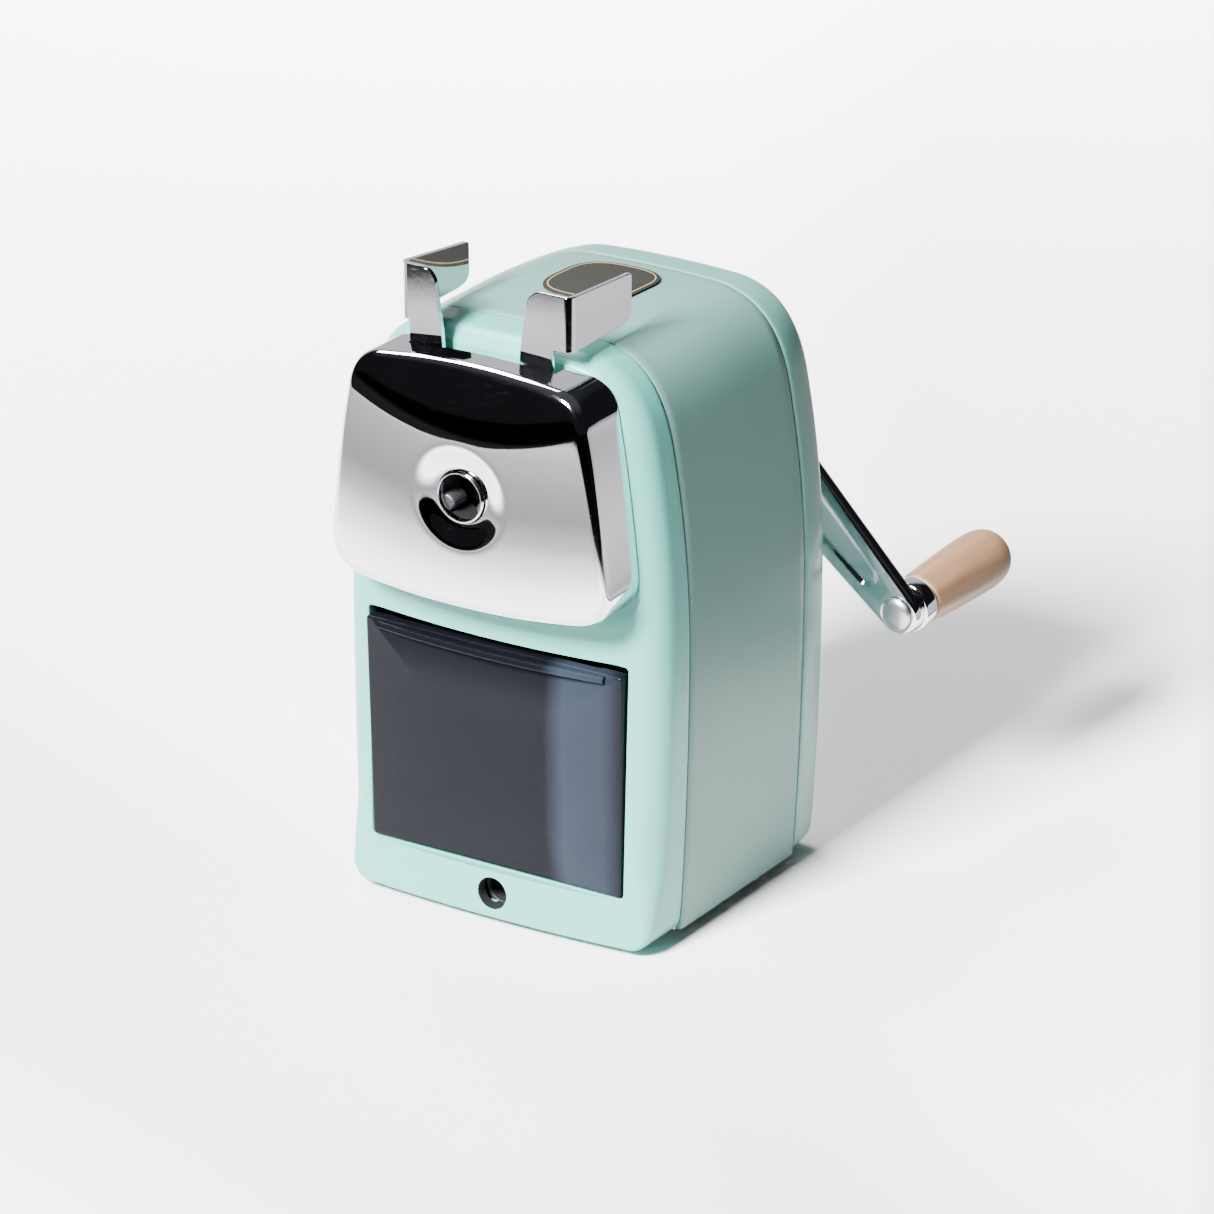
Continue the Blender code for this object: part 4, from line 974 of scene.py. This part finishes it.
def crank_arm():
    front, rear = ARM_Y
    rings = []
    for y, grow in ((rear, -0.3), (rear - 0.1, -0.1), (rear - 0.3, 0.0), (front + 0.8, 0.0),
                    (front + 0.45, -0.06), (front + 0.2, -0.25), (front + 0.05, -0.5), (front, -0.8)):
        rings.append(at_level(arm_outline(8.0 + grow, 4.2 + grow), y))
    channel = []
    for y, grow in ((30, 0.6), (front - 0.02, 0.35), (front + 0.12, 0.1), (front + 0.35, -0.15),
                    (front + 0.55, -0.45), (front + 0.6, -0.8)):
        channel.append(at_level(arm_outline(4.2 + grow, 2.0 + grow, 12.0, 50.0), y))
    hollow = prism(arm_outline(5.4, 2.9, 15.0, 49.5), front + 1.5, 50)
    made = shaped("arm_pressing", skin(rings), [
        (CUT, skin(channel)),
        (CUT, hollow),
        (CUT, rod(HUB_BORE, 30, 50, z=AXIS_Z)),
        (CUT, rod(KNOB_BORE, 30, 50, *KNOB)),
    ], angle=30)
    piece(made, CHROME, "chrome", "crank", "crank_arm")


def crank_hub():
    shaft = [(0, 26.6), (3.0, 26.6), (3.0, 44.6), (2.9, 44.9), (2.5, 45.1), (0, 45.1)]
    piece(shaped("shaft_bar", lathe(shaft, HUB, steps=48)), STEEL, "steel", "crank", "crank_shaft")
    collar = [(HUB_BORE, 37.5), (5.7, 37.5), (6.0, 37.8), (6.0, 39.0), (5.7, 39.3), (HUB_BORE, 39.3)]
    piece(shaped("shaft_collar", lathe(collar, HUB, closed=True)), CHROME, "chrome", "crank", "crank_collar")
    dome = [(0, 45.0), (4.8, 45.0), (4.75, 45.6), (4.4, 46.6), (3.9, 47.3), (3.2, 47.8), (2.4, 48.2),
            (1.6, 48.4), (0, 48.5)]
    nut = shaped("acorn_nut", lathe([(5.7, 42.6), (6.0, 42.9), (6.0, 45.3), (5.6, 45.6)], HUB, steps=6), [
        (JOIN, lathe(dome, HUB, steps=64)),
        (CUT, rod(HUB_BORE, 40, 45.4, z=AXIS_Z)),
    ], rounding=0.12, angle=30)
    piece(nut, CHROME, "chrome", "crank", "crank_nut")


def knob_parts():
    pin = [(0, 38.3), (0.9, 38.32), (1.8, 38.42), (2.5, 38.62), (2.95, 38.86), (3.1, 39.05), (3.1, 39.3),
           (2.0, 39.3), (2.0, 70.0), (0, 70.0)]
    piece(shaped("rivet_pin", lathe(pin, KNOB_CENTRE, steps=48)), STEEL, "steel", "crank", "knob_pin")
    ferrule = [(KNOB_BORE, 42.6), (4.5, 42.6), (4.72, 42.68), (4.86, 42.85), (4.9, 43.1), (4.9, 45.8),
               (4.84, 46.1), (4.7, 46.32), (4.5, 46.4), (KNOB_BORE, 46.4)]
    ring = shaped("ferrule_ring", lathe(ferrule, KNOB_CENTRE, closed=True))
    piece(ring, CHROME, "chrome", "crank", "knob_ferrule")
    front, rear = 46.7, 75.2
    body = [(0, front), (4.3, front), (4.55, front + 0.1), (4.75, front + 0.35)]
    grip = [(4.85, front + 0.8), (5.2, front + 6), (5.5, front + 13), (5.7, front + 20), (5.6, rear - 4.2),
            (5.1, rear - 2.0), (3.9, rear - 0.6), (2.0, rear - 0.1), (0.6, rear)]
    body += smooth(grip, 6, closed=False) + [(0, rear)]
    made = shaped("turned_knob", lathe(body, KNOB_CENTRE), [(CUT, rod(KNOB_BORE, 40, 70.4, *KNOB))], angle=40)
    piece(made, WOOD, "beige_wood", "knob", "knob")


# ------------------------------------------------------------- inner CAD nodes


def carried_over():
    """Finishes for the inner CAD nodes that stay as they are."""
    looks = {
        STEEL: "base_plate base_screw_left base_screw_right drawer_guide ring_gear head_back_plate "
               "lever_pin_left lever_pin_right rod_collar_left rod_collar_right cutter_axle cutter_pinion",
        GREY: "front_bearing rod_bushing_left rod_bushing_right cutter_carrier",
        TOOL_STEEL: "cutter",
    }
    for look, names in looks.items():
        for name in names.split():
            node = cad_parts[name]
            node.data.materials.clear()
            node.data.materials.append(look)


# ------------------------------------------------------------- stage


def floor():
    """A sheet with painted light and shade: pale, and lightest behind, where it stands in for more light; it
    darkens far out on the left, near and right sides, where the chrome mirrors it, and the dark right side
    also cuts the light bounced onto the case.
    """
    half = 1.5
    made = bpy.data.materials.new("floor_with_painted_light_and_shade")
    made.use_nodes = True
    tree = made.node_tree
    shader = tree.nodes["Principled BSDF"]
    shader.inputs["Roughness"].default_value = 0.9
    shader.inputs["Specular IOR Level"].default_value = 0.0
    coords = add(tree, "ShaderNodeTexCoord").outputs["Object"]
    split = add(tree, "ShaderNodeSeparateXYZ")
    tree.links.new(coords, split.inputs["Vector"])
    reach = add(tree, "ShaderNodeVectorMath", {"operation": "DOT_PRODUCT"})
    reach.inputs[1].default_value = (-0.775, -0.632, 0.0)
    tree.links.new(coords, reach.inputs[0])
    # Painted light and shade towards the front left: lightest behind, a lighter grey near the object, then
    # dark bands far out for the chrome to mirror.
    ramp = add(tree, "ShaderNodeValToRGB")
    set_stops(ramp, ((0.0, 0.93), (0.05, 0.68), (0.12, 0.60), (0.165, 0.72), (0.190, 0.36), (0.215, 0.14),
                     (0.24, 0.075), (0.27, 0.085), (0.31, 0.11), (0.34, 0.15), (0.36, 0.002), (1.0, 0.002)))
    tree.links.new(reach.outputs["Value"], ramp.inputs["Fac"])
    # Painted shade: the floor turns dark on the near side, for the chrome to mirror.
    edge = ranged(tree, split.outputs["Y"], 0.004, 1.0, -0.30, -0.24)
    slant = add(tree, "ShaderNodeMath", {"operation": "MULTIPLY_ADD"})
    slant.inputs[1].default_value = -0.08
    tree.links.new(split.outputs["Y"], slant.inputs[0])
    tree.links.new(split.outputs["X"], slant.inputs[2])
    # Painted shade on the right side, which the chrome mirrors and which cuts the light bounced onto the
    # case.
    right = add(tree, "ShaderNodeValToRGB")
    set_stops(right, ((0.0, 1.0), (0.05, 0.86), (0.114, 0.92), (0.126, 0.10), (0.145, 0.10), (0.160, 0.24),
                      (0.20, 0.15), (0.33, 0.28), (1.0, 0.28)))
    tree.links.new(slant.outputs["Value"], right.inputs["Fac"])
    both = add(tree, "ShaderNodeMath", {"operation": "MULTIPLY"})
    tree.links.new(edge, both.inputs[0])
    tree.links.new(right.outputs["Color"], both.inputs[1])
    shade = add(tree, "ShaderNodeVectorMath", {"operation": "SCALE"})
    tree.links.new(ramp.outputs["Color"], shade.inputs[0])
    tree.links.new(both.outputs["Value"], shade.inputs["Scale"])
    tree.links.new(shade.outputs["Vector"], shader.inputs["Base Color"])
    bm = bmesh.new()
    rows = [[bm.verts.new((x, y, 0.0)) for x in (-half, half)] for y in (-half, half)]
    bm.faces.new((rows[0][0], rows[0][1], rows[1][1], rows[1][0]))
    mesh = bpy.data.meshes.new("floor")
    bm.to_mesh(mesh)
    bm.free()
    plane = bpy.data.objects.new("floor", mesh)
    plane.rotation_euler = (0, 0, math.radians(32.5))
    plane.data.materials.append(made)
    bpy.context.scene.collection.objects.link(plane)


def light(name, position, size, power, aim=(0.0, 0.0, 0.06), spread=180.0):
    """A square soft light, aimed at a point."""
    data = bpy.data.lights.new(name, "AREA")
    data.shape = "RECTANGLE"
    data.size = data.size_y = size
    data.energy = power
    data.spread = math.radians(spread)
    made = bpy.data.objects.new(name, data)
    made.location = position
    made.rotation_euler = (Vector(aim) - Vector(position)).to_track_quat("-Z", "Y").to_euler()
    bpy.context.scene.collection.objects.link(made)


def studio():
    """Three soft lights in a dark room with one pale wall behind and a faint ceiling."""
    light("key", (-0.10, -1.15, 0.98), 0.36, 205.0)
    light("top", (-0.74, 0.28, 1.27), 0.6, 27.0, (-0.10, 0.1, 0.0))
    light("back", (-0.44, 0.72, 1.1), 0.4, 10.0, (-0.38, 0.64, 0.0), 50.0)
    world = bpy.data.worlds.new("studio")
    bpy.context.scene.world = world
    world.use_nodes = True
    tree = world.node_tree
    sky = tree.nodes["Background"]
    coords = add(tree, "ShaderNodeTexCoord").outputs["Generated"]
    split = add(tree, "ShaderNodeSeparateXYZ")
    tree.links.new(coords, split.inputs["Vector"])
    upward = ranged(tree, split.outputs["Z"], 0.0, 1.0, 0.55, 0.9)
    behind = add(tree, "ShaderNodeVectorMath", {"operation": "DOT_PRODUCT"})
    behind.inputs[1].default_value = (-0.537, 0.843, 0.0)
    tree.links.new(coords, behind.inputs[0])
    wall = ranged(tree, behind.outputs["Value"], 0.0, 1.0, 0.70, 0.84)
    glow = mixed(tree, wall, (0.010, 0.010, 0.012), (0.80, 0.80, 0.83))
    tree.links.new(mixed(tree, upward, glow, (0.08, 0.083, 0.09)), sky.inputs["Color"])
    sky.inputs["Strength"].default_value = 1.0


def camera():
    """Looks from the right of the front, a little above."""
    data = bpy.data.cameras.new("view")
    data.sensor_width = 36.0
    data.lens = 217.42
    data.clip_start = 0.1
    data.clip_end = 20.0
    made = bpy.data.objects.new("view", data)
    target = Vector((0.02343, -0.028, 0.06731))
    azimuth, elevation = math.radians(32.522), math.radians(22.587)
    level = math.cos(elevation)
    back = Vector((math.sin(azimuth) * level, -math.cos(azimuth) * level, math.sin(elevation)))
    distance = 1.2943
    made.location = target + back * distance
    made.rotation_euler = (-back).to_track_quat("-Z", "Y").to_euler()
    bpy.context.scene.collection.objects.link(made)
    bpy.context.scene.camera = made


front_panel()
body_shell()
rear_panel()
mechanism_housing()
top_label()
base_pad()
clamp_socket()
drawer()
head_cover()
inlet_ring()
chuck()
jaws()
lever("left", -1, 2.0, -10.3, 2.2)
lever("right", 1, 0.0, -11.3, 1.0)
springs()
rods()
crank_arm()
crank_hub()
knob_parts()
carried_over()
floor()
studio()
camera()
